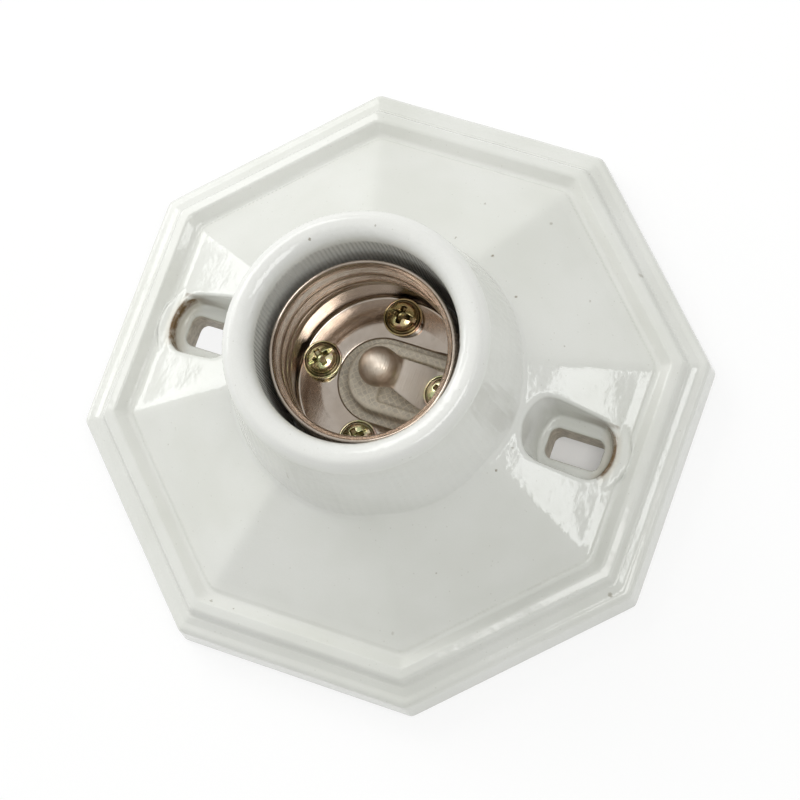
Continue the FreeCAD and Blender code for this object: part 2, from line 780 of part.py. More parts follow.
def build_lock_washer(label, x, y, z):
    """A split ring under a screw head."""
    blank = ring(label + "_ring", s.lock_washer_radius, TAPPED_RADIUS, s.lock_washer_height)
    split = document.addObject("Part::Box", label + "_split")
    bind(split, "Length", s.lock_washer_radius)
    bind(split, "Width", s.lock_washer_split)
    bind(split, "Height", s.lock_washer_height)
    washer = document.addObject("Part::Cut", label)
    washer.Base = blank
    washer.Tool = split
    washer.Label = label
    place(washer, x, y, z)
    return washer


def build_terminal_plate(label, x, rotation):
    """A bar under the web, tapped for the link screw at its origin and for the wire screw."""
    body = new_body(label)
    plan = new_sketch(body, "plan")
    half = s.terminal_width / 2
    radius = s.terminal_round
    draw_outline(plan, [
        (-half, -s.terminal_near_end, radius),
        (half, -s.terminal_near_end, radius),
        (half, s.terminal_far_end, radius),
        (-half, s.terminal_far_end, radius),
    ])
    draw_circle(plan, ZERO, ZERO, TAPPED_RADIUS)
    draw_circle(plan, ZERO, s.wire_screw_offset, WIRE_TAPPED_RADIUS)
    pad(body, "plate", plan, s.terminal_thickness)
    place(body, x, ZERO, TERMINAL_UNDERSIDE, rotation)
    return body


def build_clamp_washer(label, x, y):
    """A square washer under the head of the wire screw, with two lips that guide the wire."""
    body = new_body(label)
    half = s.clamp_width / 2
    plan = new_sketch(body, "plan")
    draw_outline(plan, [(-half, -half), (half, -half), (half, half), (-half, half)])
    draw_circle(plan, ZERO, ZERO, WIRE_TAPPED_RADIUS)
    pad(body, "plate", plan, s.clamp_thickness)
    for name, sign in (("near", -1), ("far", 1)):
        lip = new_sketch(body, name + "_lip_plan")
        edge = sign * half
        inner = sign * (half - s.clamp_lip_width)
        low, high = (inner, edge) if sign > 0 else (edge, inner)
        draw_outline(lip, [(low, -half), (high, -half), (high, half), (low, half)])
        pad(body, name + "_lip", lip, s.clamp_lip_height, reverse=True)
    place(body, x, y, CLAMP_UNDERSIDE)
    return body


def build_terminals():
    reach = -s.screw_circle_radius
    offset = s.wire_screw_offset
    neutral = (build_terminal_plate("neutral_terminal_plate", reach, Rotation()),
               build_clamp_washer("neutral_clamp_washer", reach, offset))
    live = (build_terminal_plate("live_terminal_plate", s.contact_screw_x,
                                 Rotation(Vector(0, 0, 1), LIVE_SIDE_DEGREES)),
            build_clamp_washer("live_clamp_washer", s.contact_screw_x, -offset))
    screws = []
    for label, x, y in (("neutral_terminal_screw", reach, offset),
                        ("live_terminal_screw", s.contact_screw_x, -offset)):
        screw = build_screw(label, s.wire_screw_shank_radius, s.wire_screw_length,
                            s.wire_screw_head_radius, s.wire_screw_head_height)
        place(screw, x, y, CLAMP_UNDERSIDE, Rotation(Vector(1, 0, 0), 180))
        screws.append(screw)
    return list(neutral) + list(live) + screws


def build_nuts_and_washers():
    reach = s.screw_circle_radius
    return [
        build_nut("shell_nut_north", reach),
        build_nut("shell_nut_south", -reach),
        build_lock_washer("lock_washer_north", ZERO, reach, SHELL_FLOOR_TOP),
        build_lock_washer("lock_washer_south", ZERO, -reach, SHELL_FLOOR_TOP),
        build_lock_washer("neutral_lock_washer", -reach, ZERO, SHELL_FLOOR_TOP),
        build_lock_washer("contact_lock_washer", s.contact_screw_x, ZERO, STRIP_ROOT_TOP),
    ]


def check_document():
    document.recompute()
    for item in document.Objects:
        if "Invalid" in item.State or "Error" in item.State:
            raise ValueError("%s is %s" % (item.Name, item.State))


def export(pieces):
    os.makedirs("parts", exist_ok=True)
    for piece in pieces:
        shape = piece.Shape
        if shape.isNull() or not shape.isValid() or not shape.Solids:
            raise ValueError(piece.Label + " has no sound solid")
        shape.exportStep("parts/%s.step" % piece.Label)
        print("%-26s %d solid, %9.1f mm3, %d faces" % (piece.Label, len(shape.Solids), shape.Volume, len(shape.Faces)))


pieces = [build_porcelain_body(), build_screw_shell(), build_centre_contact()]
pieces += build_inner_screws()
pieces += build_nuts_and_washers()
pieces += build_terminals()
check_document()
export(pieces)
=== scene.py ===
"""Porcelain lamp socket: its looks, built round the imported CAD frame. Sizes here are in millimetres."""
import json
import math

import bpy
import numpy as np
from mathutils import Matrix, Vector

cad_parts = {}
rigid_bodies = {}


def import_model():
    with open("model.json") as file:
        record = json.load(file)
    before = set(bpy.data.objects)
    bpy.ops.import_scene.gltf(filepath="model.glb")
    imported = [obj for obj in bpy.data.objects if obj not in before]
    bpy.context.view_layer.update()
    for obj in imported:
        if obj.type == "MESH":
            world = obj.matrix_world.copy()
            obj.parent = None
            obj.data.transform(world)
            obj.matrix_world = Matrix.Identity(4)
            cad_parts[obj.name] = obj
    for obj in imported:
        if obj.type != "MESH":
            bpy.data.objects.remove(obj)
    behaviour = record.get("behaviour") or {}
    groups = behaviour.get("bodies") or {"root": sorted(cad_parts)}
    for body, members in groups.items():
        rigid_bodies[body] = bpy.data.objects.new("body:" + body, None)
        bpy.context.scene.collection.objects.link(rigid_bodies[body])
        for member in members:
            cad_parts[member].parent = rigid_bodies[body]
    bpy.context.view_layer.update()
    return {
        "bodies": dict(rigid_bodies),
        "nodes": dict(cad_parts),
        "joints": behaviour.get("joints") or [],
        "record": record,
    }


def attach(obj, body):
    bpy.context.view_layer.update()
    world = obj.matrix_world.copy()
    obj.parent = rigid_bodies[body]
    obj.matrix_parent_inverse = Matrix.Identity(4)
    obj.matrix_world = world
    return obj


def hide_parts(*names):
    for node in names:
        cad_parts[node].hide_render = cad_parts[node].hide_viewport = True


MM = 0.001

# Porcelain
PLATE_APOTHEM = 45.0
COLLAR_HEIGHT = 36.30
COLLAR_FOOT_HEIGHT = 9.0
COLLAR_FILLET = 0.55
BORE_RADIUS = 14.9
FLOOR_HEIGHT = 11.8
WEB_UNDERSIDE = 7.5
CHAMBER_RADIUS = 19.6
HOLLOW_RADIUS = 36.5
HOLLOW_INNER_RADIUS = 19.0
HOLLOW_RIM_HEIGHT = 2.0
HOLLOW_ROOF_HEIGHT = 9.7
HOLLOW_ROOF_SLOPE = 0.57
RIB_HALF_ANGLE = math.radians(23)
WAVE_HEIGHT = 0.022

# Mounting slots and their recesses
SLOT_X = 29.5
SEAT_HEIGHT = 6.3
RIM_SHIFT = 1.75
RIM_RADIUS = 6.9
RIM_TOP = 8.25
RIM_BOTTOM = 5.0

# Boss on the bore's floor
BOSS_TOP = 15.7
CHANNEL_FLOOR = 14.5
CHANNEL_HALF_WIDTH = 3.75
CHANNEL_START = 0.6

# Screw shell, contact strip and screws
SHELL_RADIUS = 13.6
SHELL_WALL = 0.4
SHELL_RIM = 30.0
SHELL_INNER = SHELL_RADIUS - SHELL_WALL
SHELL_CORNER = 0.75
THREAD_PITCH = 3.629
STRIP_THICKNESS = 0.6
LOCK_WASHER = 0.8
SHELL_SCREW_SEAT = FLOOR_HEIGHT + SHELL_WALL + LOCK_WASHER
CONTACT_SCREW_SEAT = CHANNEL_FLOOR + STRIP_THICKNESS + LOCK_WASHER

# Mesh: grid step of each field and the most triangles that its piece may have
PORCELAIN_STEP = 0.47
PORCELAIN_TRIANGLES = 190000
CONTACT_STEP = 0.16
CONTACT_TRIANGLES = 60000
SCREW_STEP = 0.09
SCREW_TRIANGLES = 45000
SHELL_COLUMNS = 360
SHELL_ROWS = 120

TINY = 1e-9
FAR = 1e9


# Distance fields

def soft_min(a, b, blend):
    """The smaller of two distances, with the crease between them filled over the blend length."""
    share = np.clip(0.5 + 0.5 * (b - a) / blend, 0.0, 1.0)
    return b * (1 - share) + a * share - blend * share * (1 - share)


def soft_max(a, b, blend):
    return -soft_min(-a, -b, blend)


def smooth_step(low, high, value):
    share = np.clip((value - low) / (high - low), 0.0, 1.0)
    return share * share * (3 - 2 * share)


def rounded_outline(corners, arc_steps=9):
    """Points along (across, up) or (across, up, rounding radius) corners, with the roundings as arcs."""
    points = []
    count = len(corners)
    for index, corner in enumerate(corners):
        here = np.array(corner[:2], float)
        if len(corner) == 2:
            points.append(here)
            continue
        back = np.array(corners[index - 1][:2]) - here
        ahead = np.array(corners[(index + 1) % count][:2]) - here
        back /= np.linalg.norm(back)
        ahead /= np.linalg.norm(ahead)
        half = math.acos(float(np.clip(back @ ahead, -1, 1))) / 2
        reach = corner[2] / math.tan(half)
        middle = (back + ahead) / np.linalg.norm(back + ahead)
        centre = here + middle * corner[2] / math.sin(half)
        start = here + back * reach - centre
        end = here + ahead * reach - centre
        sweep = math.atan2(start[0] * end[1] - start[1] * end[0], start @ end)
        for step in range(arc_steps + 1):
            turn = sweep * step / arc_steps
            cos, sin = math.cos(turn), math.sin(turn)
            turned = [start[0] * cos - start[1] * sin, start[0] * sin + start[1] * cos]
            points.append(centre + np.array(turned))
    return np.array(points)


class ProfileField:
    """Signed distance to an outline in the (across, up) plane, looked up in a fine table."""

    CELL = 0.08

    def __init__(self, outline, low, high):
        self.low = np.array(low, float)
        counts = np.ceil((np.array(high) - self.low) / self.CELL).astype(int) + 1
        across = self.low[0] + np.arange(counts[0]) * self.CELL
        up = self.low[1] + np.arange(counts[1]) * self.CELL
        u, v = np.meshgrid(across, up, indexing="ij")
        nearest = np.full(u.shape, FAR)
        inside = np.zeros(u.shape, bool)
        for start, end in zip(outline, np.roll(outline, -1, axis=0)):
            run = end - start
            length = run @ run
            if length < 1e-12:
                continue
            share = np.clip(((u - start[0]) * run[0] + (v - start[1]) * run[1]) / length, 0, 1)
            gap = (u - start[0] - share * run[0]) ** 2 + (v - start[1] - share * run[1]) ** 2
            nearest = np.minimum(nearest, gap)
            crosses = (start[1] > v) != (end[1] > v)
            rise = run[1] if abs(run[1]) > 1e-12 else 1e-12
            inside ^= crosses & (u < start[0] + run[0] * (v - start[1]) / rise)
        self.table = np.where(inside, -1.0, 1.0) * np.sqrt(nearest)

    def __call__(self, across, up):
        u = np.clip((across - self.low[0]) / self.CELL, 0, self.table.shape[0] - 1.001)
        v = np.clip((up - self.low[1]) / self.CELL, 0, self.table.shape[1] - 1.001)
        i, j = u.astype(int), v.astype(int)
        a, b = u - i, v - j
        table = self.table
        low = table[i, j] * (1 - b) + table[i, j + 1] * b
        high = table[i + 1, j] * (1 - b) + table[i + 1, j + 1] * b
        return low * (1 - a) + high * a


FACET_SLOPE = 0.632
FACET_FOOT = (35.8, 8.54)
FACET_TOP = 20.0
FACET_CROWN = 0.11
FACET_STEPS = 12


def crowned_facet():
    """Points up a facet, which swells a little between its foot and the collar."""
    points = []
    for step in range(1, FACET_STEPS + 1):
        share = step / FACET_STEPS
        across = FACET_FOOT[0] + (FACET_TOP - FACET_FOOT[0]) * share
        swell = 4 * FACET_CROWN * share * (1 - share)
        points.append((across, FACET_FOOT[1] + (FACET_FOOT[0] - across) * FACET_SLOPE + swell))
    return points


FACET_POINTS = crowned_facet()
PROFILE_LOW = (-1.0, -3.0)

FOOT_PROFILE = ProfileField(rounded_outline([
    (0.0, 0.0),
    (PLATE_APOTHEM, 0.0, 0.3),
    (44.55, 5.8, 1.1),
    (43.15, 5.95, 0.5),
    (42.15, 6.55, 0.4),
    (41.75, 6.6, 0.4),
    (41.1, 8.3, 0.6),
    (39.6, 8.66, 0.4),
    (38.0, 7.4, 0.6),
    (37.3, 7.35, 0.45),
    (37.1, 7.76, 0.38),
    (*FACET_FOOT, 0.3),
    *FACET_POINTS,
    (0.0, FACET_POINTS[-1][1]),
]), PROFILE_LOW, (52.0, 40.0))

COLLAR_PROFILE = ProfileField(rounded_outline([
    (0.0, COLLAR_FOOT_HEIGHT),
    (23.15, COLLAR_FOOT_HEIGHT),
    (19.4, 34.8, 0.45),
    (18.2, COLLAR_HEIGHT, 1.3),
    (BORE_RADIUS, COLLAR_HEIGHT, 2.35),
    (BORE_RADIUS, FLOOR_HEIGHT, 0.4),
    (0.0, FLOOR_HEIGHT),
]), PROFILE_LOW, (70.0, 40.0))


def octagon_distance(x, y):
    """Distance out from the axis towards the nearest side, with the corners rounder on the facets."""
    facet_round, sharpening, trim = 0.36, 0.20, 0.002
    sides = []
    for number in range(8):
        angle = math.radians(45.0 * number)
        sides.append(x * math.cos(angle) + y * math.sin(angle))
    largest = np.maximum.reduce(sides)
    blend = facet_round - sharpening * smooth_step(35.0, 41.0, largest)
    total = sum(np.exp((side - largest) / blend) for side in sides)
    return largest + blend * np.log(total) - trim


def hand_waviness(x, y, z):
    """The slow, slight unevenness of hand-finished, slip-glazed ware."""
    wave = np.sin(0.31 * x + 0.9) * np.sin(0.27 * y + 0.4)
    wave += 0.6 * np.sin(0.53 * y - 0.22 * x + 1.7) * np.sin(0.41 * z + 0.3)
    wave += 0.5 * np.sin(0.74 * x + 0.35 * y + 2.1)
    return WAVE_HEIGHT * wave


def recess_field(x, y, z):
    """The tapered recess round a mounting slot, as the space that is cut away."""
    inner_radius, outer_radius, side_round, wall_slope = 7.2, 6.2, 1.3, 0.95
    rise = z - SEAT_HEIGHT
    lean = np.minimum(rise, 11.0)
    inner_end = 24.0 - 0.11 * lean
    outer_end = 34.9 + 0.30 * lean
    half_width = 4.45 + 0.055 * lean
    inner_arc = np.hypot(np.minimum(x - inner_end - inner_radius, 0), y) - inner_radius
    outer_arc = np.hypot(np.maximum(x - outer_end + outer_radius, 0), y) - outer_radius
    walls = soft_max(soft_max(inner_arc, outer_arc, 0.5), np.abs(y) - half_width, side_round)
    return soft_max(walls * wall_slope, -rise, 0.5)


def rim_field(x, y, z):
    """The round rim that carries the outer end of a recess across the groove."""
    side = np.hypot(x - SLOT_X - RIM_SHIFT, y) - RIM_RADIUS
    return soft_max(side, np.maximum(z - RIM_TOP, RIM_BOTTOM - z), 0.5)


def slot_field(x, y):
    """The slot through the foot for the shank of a mounting screw."""
    half_length, half_width, corner = 4.25, 2.4, 1.3
    along = np.abs(x - SLOT_X) - half_length
    across = np.abs(y) - half_width
    inside = np.minimum(np.maximum(along, across), 0)
    round_corner = np.hypot(np.maximum(along + corner, 0), np.maximum(across + corner, 0)) - corner
    return np.where(inside < -corner, inside, round_corner)


def boss_field(x, y, z):
    """The unglazed boss on the floor of the bore, with one round end."""
    nose_x, half_width, end_x, end_round, top_round = 0.35, 5.35, 12.1, 2.0, 1.1
    side = np.where(x < nose_x, np.hypot(x - nose_x, y), np.abs(y)) - half_width
    side = soft_max(side, x - end_x, end_round)
    return soft_max(side, z - BOSS_TOP, top_round)


def channel_field(x, y, z):
    """The channel in the boss that holds the contact strip."""
    walls = soft_max(np.abs(y) - CHANNEL_HALF_WIDTH, CHANNEL_START - x, 0.8)
    walls = np.maximum(walls, np.hypot(x, y) - BORE_RADIUS)
    return soft_max(walls, CHANNEL_FLOOR - z, 0.5)


def hollow_field(x, y, z):
    """The hollow under the facets on both sides of the mounting slots."""
    radius = np.hypot(x, y)
    scale, blend = 0.87, 0.8
    outer = (radius - HOLLOW_RADIUS) * scale
    roof = ((z - HOLLOW_RIM_HEIGHT) + (radius - HOLLOW_RADIUS) * HOLLOW_ROOF_SLOPE) * scale
    sector = np.abs(x) * math.sin(RIB_HALF_ANGLE) - np.abs(y) * math.cos(RIB_HALF_ANGLE)
    ring = soft_max(soft_max(outer, roof, blend), HOLLOW_INNER_RADIUS - radius, blend)
    return soft_max(ring, soft_max(sector, z - HOLLOW_ROOF_HEIGHT, blend), blend)


def porcelain_field(x, y, z):
    """Signed distance to the porcelain body."""
    radius = np.hypot(x, y)
    wave = hand_waviness(x, y, z)
    foot = FOOT_PROFILE(octagon_distance(x, y), z) + wave * smooth_step(0.0, 3.0, z)
    body = soft_min(foot, COLLAR_PROFILE(radius, z) + 0.5 * wave, COLLAR_FILLET)
    body = np.maximum(body, -np.maximum(radius - BORE_RADIUS, FLOOR_HEIGHT - z))
    side_x = np.abs(x)
    body = soft_min(body, rim_field(side_x, y, z), 0.5)
    body = soft_max(body, -recess_field(side_x, y, z), 0.6)
    body = soft_max(body, -slot_field(side_x, y), 0.55)
    body = soft_min(body, boss_field(x, y, z), 0.4)
    body = soft_max(body, -channel_field(x, y, z), 0.5)
    chamber = soft_max(radius - CHAMBER_RADIUS, z - WEB_UNDERSIDE, 0.6)
    body = soft_max(body, -chamber, 0.6)
    return soft_max(body, -hollow_field(x, y, z), 0.8)


# Surfaces from fields

def value_and_slope(field, points):
    """The field's value at each point, and its gradient there."""
    reach = 0.01
    x, y, z = points.T
    here = field(x, y, z)
    slope = np.stack([
        field(x + reach, y, z) - field(x - reach, y, z),
        field(x, y + reach, z) - field(x, y - reach, z),
        field(x, y, z + reach) - field(x, y, z - reach),
    ], 1) / (2 * reach)
    return here, slope


def pull_to_surface(field, points, limit, rounds):
    """Moves the points onto the surface, each by no more than the limit in a round."""
    least_slope = 0.05
    for _ in range(rounds):
        here, slope = value_and_slope(field, points)
        size = np.maximum((slope * slope).sum(1), least_slope)
        move = slope * (here / size)[:, None]
        length = np.linalg.norm(move, axis=1)
        points = points - move * np.minimum(1.0, limit / np.maximum(length, TINY))[:, None]
    return points


def sample_field(field, low, high, step):
    """Field values on a regular grid, slice by slice along x."""
    axes = [np.arange(low[k] - step, high[k] + 2 * step, step) for k in range(3)]
    values = np.empty([len(axis) for axis in axes], np.float32)
    for index, x in enumerate(axes[0]):
        y, z = np.meshgrid(axes[1], axes[2], indexing="ij")
        values[index] = field(np.full(y.size, x), y.ravel(), z.ravel()).reshape(y.shape)
    return axes, values


def surface_faces(axes, values):
    """One point in each grid cell that the surface crosses, and a quad round each crossed grid edge."""
    inside = values < 0
    cells = np.zeros([n - 1 for n in values.shape], bool)
    corners = [(i, j, k) for i in (0, 1) for j in (0, 1) for k in (0, 1)]

    def corner_of(array, corner):
        i, j, k = corner
        return array[i:array.shape[0] - 1 + i, j:array.shape[1] - 1 + j, k:array.shape[2] - 1 + k]

    first = corner_of(inside, (0, 0, 0))
    for corner in corners[1:]:
        cells |= corner_of(inside, corner) != first
    place = np.argwhere(cells)
    number = np.full(cells.shape, -1, np.int64)
    number[cells] = np.arange(len(place))
    total = np.zeros((len(place), 3))
    count = np.zeros(len(place))
    for start in corners:
        for axis in range(3):
            if start[axis]:
                continue
            end = list(start)
            end[axis] = 1
            a = values[place[:, 0] + start[0], place[:, 1] + start[1], place[:, 2] + start[2]]
            b = values[place[:, 0] + end[0], place[:, 1] + end[1], place[:, 2] + end[2]]
            crossed = (a < 0) != (b < 0)
            share = np.where(crossed, a / np.where(crossed, a - b, 1), 0)
            spot = np.tile(np.array(start, float), (len(place), 1))
            spot[:, axis] = share
            total[crossed] += spot[crossed]
            count[crossed] += 1
    points = place + total / count[:, None]
    step = [axis[1] - axis[0] for axis in axes]
    points = np.stack([axes[k][0] + points[:, k] * step[k] for k in range(3)], 1)
    quads = []
    for axis in range(3):
        u, v = (axis + 1) % 3, (axis + 2) % 3
        low_side = np.take(inside, range(inside.shape[axis] - 1), axis)
        high_side = np.take(inside, range(1, inside.shape[axis]), axis)
        edges = np.argwhere(low_side != high_side)
        edges = edges[(edges[:, u] > 0) & (edges[:, v] > 0)]
        edges = edges[(edges[:, u] < cells.shape[u]) & (edges[:, v] < cells.shape[v])]
        ring = []
        for shift_u, shift_v in ((1, 1), (0, 1), (0, 0), (1, 0)):
            cell = edges.copy()
            cell[:, u] -= shift_u
            cell[:, v] -= shift_v
            ring.append(number[cell[:, 0], cell[:, 1], cell[:, 2]])
        quad = np.stack(ring, 1)
        solid_first = inside[edges[:, 0], edges[:, 1], edges[:, 2]]
        quad[~solid_first] = quad[~solid_first][:, ::-1]
        quads.append(quad)
    return points, np.concatenate(quads)


def make_mesh(name, points, faces):
    mesh = bpy.data.meshes.new(name)
    mesh.from_pydata((points * MM).tolist(), [], [list(map(int, face)) for face in faces])
    mesh.update()
    obj = bpy.data.objects.new(name, mesh)
    bpy.context.scene.collection.objects.link(obj)
    return obj


def mesh_points(mesh):
    flat = np.empty(len(mesh.vertices) * 3, np.float32)
    mesh.vertices.foreach_get("co", flat)
    return flat.reshape(-1, 3).astype(float) / MM


def move_points(mesh, points):
    mesh.vertices.foreach_set("co", (points * MM).astype(np.float32).ravel())
    mesh.update()


def thin_out(obj, most_triangles):
    """Joins faces, flat places first, until the piece is light enough."""
    triangles = sum(len(p.vertices) - 2 for p in obj.data.polygons)
    if triangles <= most_triangles:
        return
    modifier = obj.modifiers.new("thin", "DECIMATE")
    modifier.ratio = most_triangles / triangles
    graph = bpy.context.evaluated_depsgraph_get()
    thinned = bpy.data.meshes.new_from_object(obj.evaluated_get(graph))
    obj.modifiers.clear()
    obj.data = thinned


def piece_from_field(name, field, low, high, step, most_triangles):
    """A closed mesh on the field's surface, with the field's own directions as its normals."""
    axes, values = sample_field(field, low, high, step)
    points, faces = surface_faces(axes, values)
    points = pull_to_surface(field, points, step * 0.6, rounds=3)
    obj = make_mesh(name, points, faces)
    thin_out(obj, most_triangles)
    points = pull_to_surface(field, mesh_points(obj.data), step * 0.3, rounds=2)
    move_points(obj.data, points)
    _, slope = value_and_slope(field, points)
    slope /= np.maximum(np.linalg.norm(slope, axis=1), TINY)[:, None]
    obj.data.polygons.foreach_set("use_smooth", [True] * len(obj.data.polygons))
    obj.data.normals_split_custom_set_from_vertices(slope.tolist())
    return obj


# The screw shell: one closed sheet, column by column round the axis

GAP_START_X = 2.0


def shell_gap_outline(direction):
    """Where a line from inside the floor's cut-out meets its edge, found by halving the line."""
    nose_x, half_width, end_x, corner_radius = -0.5, 6.5, 12.2, 4.0
    cos, sin = math.cos(direction), math.sin(direction)
    low, high = 0.0, 20.0
    for _ in range(40):
        middle = (low + high) / 2
        x, y = GAP_START_X + cos * middle, sin * middle
        side = math.hypot(x - nose_x, y) if x < nose_x else abs(y)
        corner = max(x - (end_x - corner_radius), 0), max(abs(y) - (half_width - corner_radius), 0)
        in_corner = min(corner) > 0 and math.hypot(*corner) > corner_radius
        outside = side > half_width or x > end_x or in_corner
        low, high = (low, middle) if outside else (middle, high)
    return GAP_START_X + cos * low, sin * low


def thread_radius(angle, z):
    """Inside radius of the rolled shell: knuckle thread below the rim, plain wall under it."""
    first_turn, crest_room, depth = 0.6, 0.12, 1.05
    fade = smooth_step(18.2, 20.6, z) * (1 - 0.75 * smooth_step(28.6, 29.8, z))
    phase = 2 * math.pi * z / THREAD_PITCH - angle + first_turn
    wave = 0.5 + 0.5 * np.cos(phase)
    return SHELL_INNER + crest_room - depth * fade * wave


def shell_column(direction, heights):
    """One closed strip through the sheet: the floor, the corner and the wall, and back underneath."""
    least_floor, corner_steps = 0.25, 9
    edge_drop, edge_lift, rim_rise = 0.12, 0.1, 0.08
    flat_radius = SHELL_INNER - SHELL_CORNER + 0.3
    floor_top = FLOOR_HEIGHT + SHELL_WALL
    gap = np.array(shell_gap_outline(direction))
    reach = np.array([math.cos(direction), math.sin(direction)])
    start = np.array([GAP_START_X, 0.0])
    along = start @ reach
    out = -along + math.sqrt(along * along + flat_radius ** 2 - start @ start)
    edge = start + reach * out
    if np.linalg.norm(gap - start) > out - least_floor:
        gap = start + reach * (out - least_floor)
    angle = math.atan2(edge[1], edge[0])
    spoke = np.array([math.cos(angle), math.sin(angle)])
    top, under = [], []
    for share in (0.0, 0.04, 0.5, 1.0):
        spot = gap + (edge - gap) * share
        top.append((*spot, floor_top - (edge_drop if share == 0 else 0.0)))
        under.append((*spot, FLOOR_HEIGHT + (edge_lift if share == 0 else 0.0)))
    wall_radius = thread_radius(angle, heights)
    foot_radius = wall_radius[0]
    for step in range(1, corner_steps):
        turn = math.pi / 2 * step / corner_steps
        radius = flat_radius + (foot_radius - flat_radius) * math.sin(turn)
        z = floor_top + SHELL_CORNER * (1 - math.cos(turn))
        top.append((*(spoke * radius), z))
        under.append((*(spoke * (radius + SHELL_WALL * math.sin(turn))), z - SHELL_WALL * math.cos(turn)))
    for radius, z in zip(wall_radius, heights):
        top.append((*(spoke * radius), z))
        under.append((*(spoke * (radius + SHELL_WALL)), z))
    rim = [(*(spoke * (wall_radius[-1] + SHELL_WALL * 0.5)), SHELL_RIM + rim_rise)]
    return top + rim + under[::-1]


def build_shell():
    heights = np.linspace(FLOOR_HEIGHT + SHELL_WALL + SHELL_CORNER, SHELL_RIM, SHELL_ROWS)
    grid = np.array([shell_column(2 * math.pi * number / SHELL_COLUMNS, heights)
                     for number in range(SHELL_COLUMNS)])
    rows = grid.shape[1]
    faces = []
    for column in range(SHELL_COLUMNS):
        here, beside = column * rows, (column + 1) % SHELL_COLUMNS * rows
        for row in range(rows):
            below = (row + 1) % rows
            faces.append((here + row, beside + row, beside + below, here + below))
    obj = make_mesh("shell_looks", grid.reshape(-1, 3), faces)
    obj.data.polygons.foreach_set("use_smooth", [True] * len(obj.data.polygons))
    return obj


# The centre contact and the screws

STRIP_PATH = rounded_outline([(12.1, 14.8), (7.9, 14.8, 1.0), (3.4, 20.5, 2.4), (0.9, 21.3)], arc_steps=16)
STRIP_MIDDLE_Y = 0.15
DOME_PLACE = (0.95, 0.1, 21.2)
DOME_RADIUS = 3.05


def contact_field(x, y, z):
    """The bent strip and its dome."""
    nearest = np.full(np.shape(x), FAR)
    for start, end in zip(STRIP_PATH, STRIP_PATH[1:]):
        run = end - start
        from_x, from_z = x - start[0], z - start[1]
        share = np.clip((from_x * run[0] + from_z * run[1]) / max(run @ run, 1e-12), 0, 1)
        nearest = np.minimum(nearest, np.hypot(from_x - share * run[0], from_z - share * run[1]))
    neck_half_width, root_widening = 2.3, 0.95
    half_width = neck_half_width + root_widening * smooth_step(2.5, 8.0, x)
    strip = soft_max(nearest - STRIP_THICKNESS / 2, np.abs(y - STRIP_MIDDLE_Y) - half_width, 0.25)
    middle_x, middle_y, middle_z = DOME_PLACE
    centre = np.sqrt((x - middle_x) ** 2 + (y - middle_y) ** 2 + (z - middle_z) ** 2)
    dome = soft_max(centre - DOME_RADIUS, middle_z - 0.5 - z, 0.5)
    return soft_min(strip, dome, 0.8)


FLANGE_RADIUS = 2.95
HALF_FLANGE = 0.27
HEAD_RADIUS = 2.38
CROWN_RADIUS = 4.75
CROWN_DEPTH = 2.6
SHANK_RADIUS = 1.45
SHORT_SHANK = 2.5
CROSS_REACH = 1.42


def screw_head_field(x, y, z):
    """A washer-faced pan head with a cross and a slot, seated at z = 0, on the start of its shank."""
    radius = np.hypot(x, y)
    flange = soft_max(radius - FLANGE_RADIUS, np.abs(z - HALF_FLANGE) - HALF_FLANGE, 0.15)
    groove = np.hypot(radius - 2.45, z - 0.62) - 0.24
    crown = np.sqrt(radius ** 2 + (z + CROWN_DEPTH) ** 2) - CROWN_RADIUS
    head = soft_max(soft_max(radius - HEAD_RADIUS + 0.12 * z, crown, 0.45), -z, 0.1)
    body = soft_max(soft_min(flange, head, 0.12), -groove, 0.1)
    shank = np.maximum(np.maximum(radius - SHANK_RADIUS, z - 0.3), -z - SHORT_SHANK)
    slot = soft_max(np.abs(y) - 0.36, 1.12 - z, 0.08)
    arms = soft_max(np.minimum(np.abs(y), np.abs(x)) - 0.40, radius - CROSS_REACH, 0.15)
    floor_height = 0.55 + 0.7 * np.maximum(radius - 0.45, 0)
    cross = soft_max(arms, floor_height - z, 0.1)
    pit = soft_max(radius - 0.72, 0.6 - z, 0.1)
    cut = soft_min(np.minimum(slot, cross), pit, 0.12)
    return soft_max(np.minimum(body, shank), -cut, 0.08)


def stretch_shank(screw, length, lean):
    """Draws the short shank out to its length, its lower end carried over by the lean."""
    fixed = 1.0
    points = mesh_points(screw.data)
    share = np.maximum(-points[:, 2] - fixed, 0) / (SHORT_SHANK - fixed)
    points[:, 2] -= share * (length - SHORT_SHANK)
    points[:, :2] += share[:, None] * np.array(lean)
    move_points(screw.data, points)


# Node, middle of the head's seat, turn of the slot in degrees, height of the tip, axis of its nut or plate
SCREWS = (
    ("shell_screw_north", (-0.38, 9.94, SHELL_SCREW_SEAT), -5, 4.35, (0, 9.8)),
    ("shell_screw_south", (-0.45, -9.76, SHELL_SCREW_SEAT), 47, 4.35, (0, -9.8)),
    ("neutral_link_screw", (-9.83, 0.17, SHELL_SCREW_SEAT), 52, 5.55, (-9.8, 0)),
    ("contact_link_screw", (10.2, 0.0, CONTACT_SCREW_SEAT), 70, 5.55, (10.2, 0)),
)


def stand_in_for(obj, node):
    """Shows the piece in place of a node of the frame, on the fixed body."""
    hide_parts(node)
    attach(obj, "socket")
    return obj


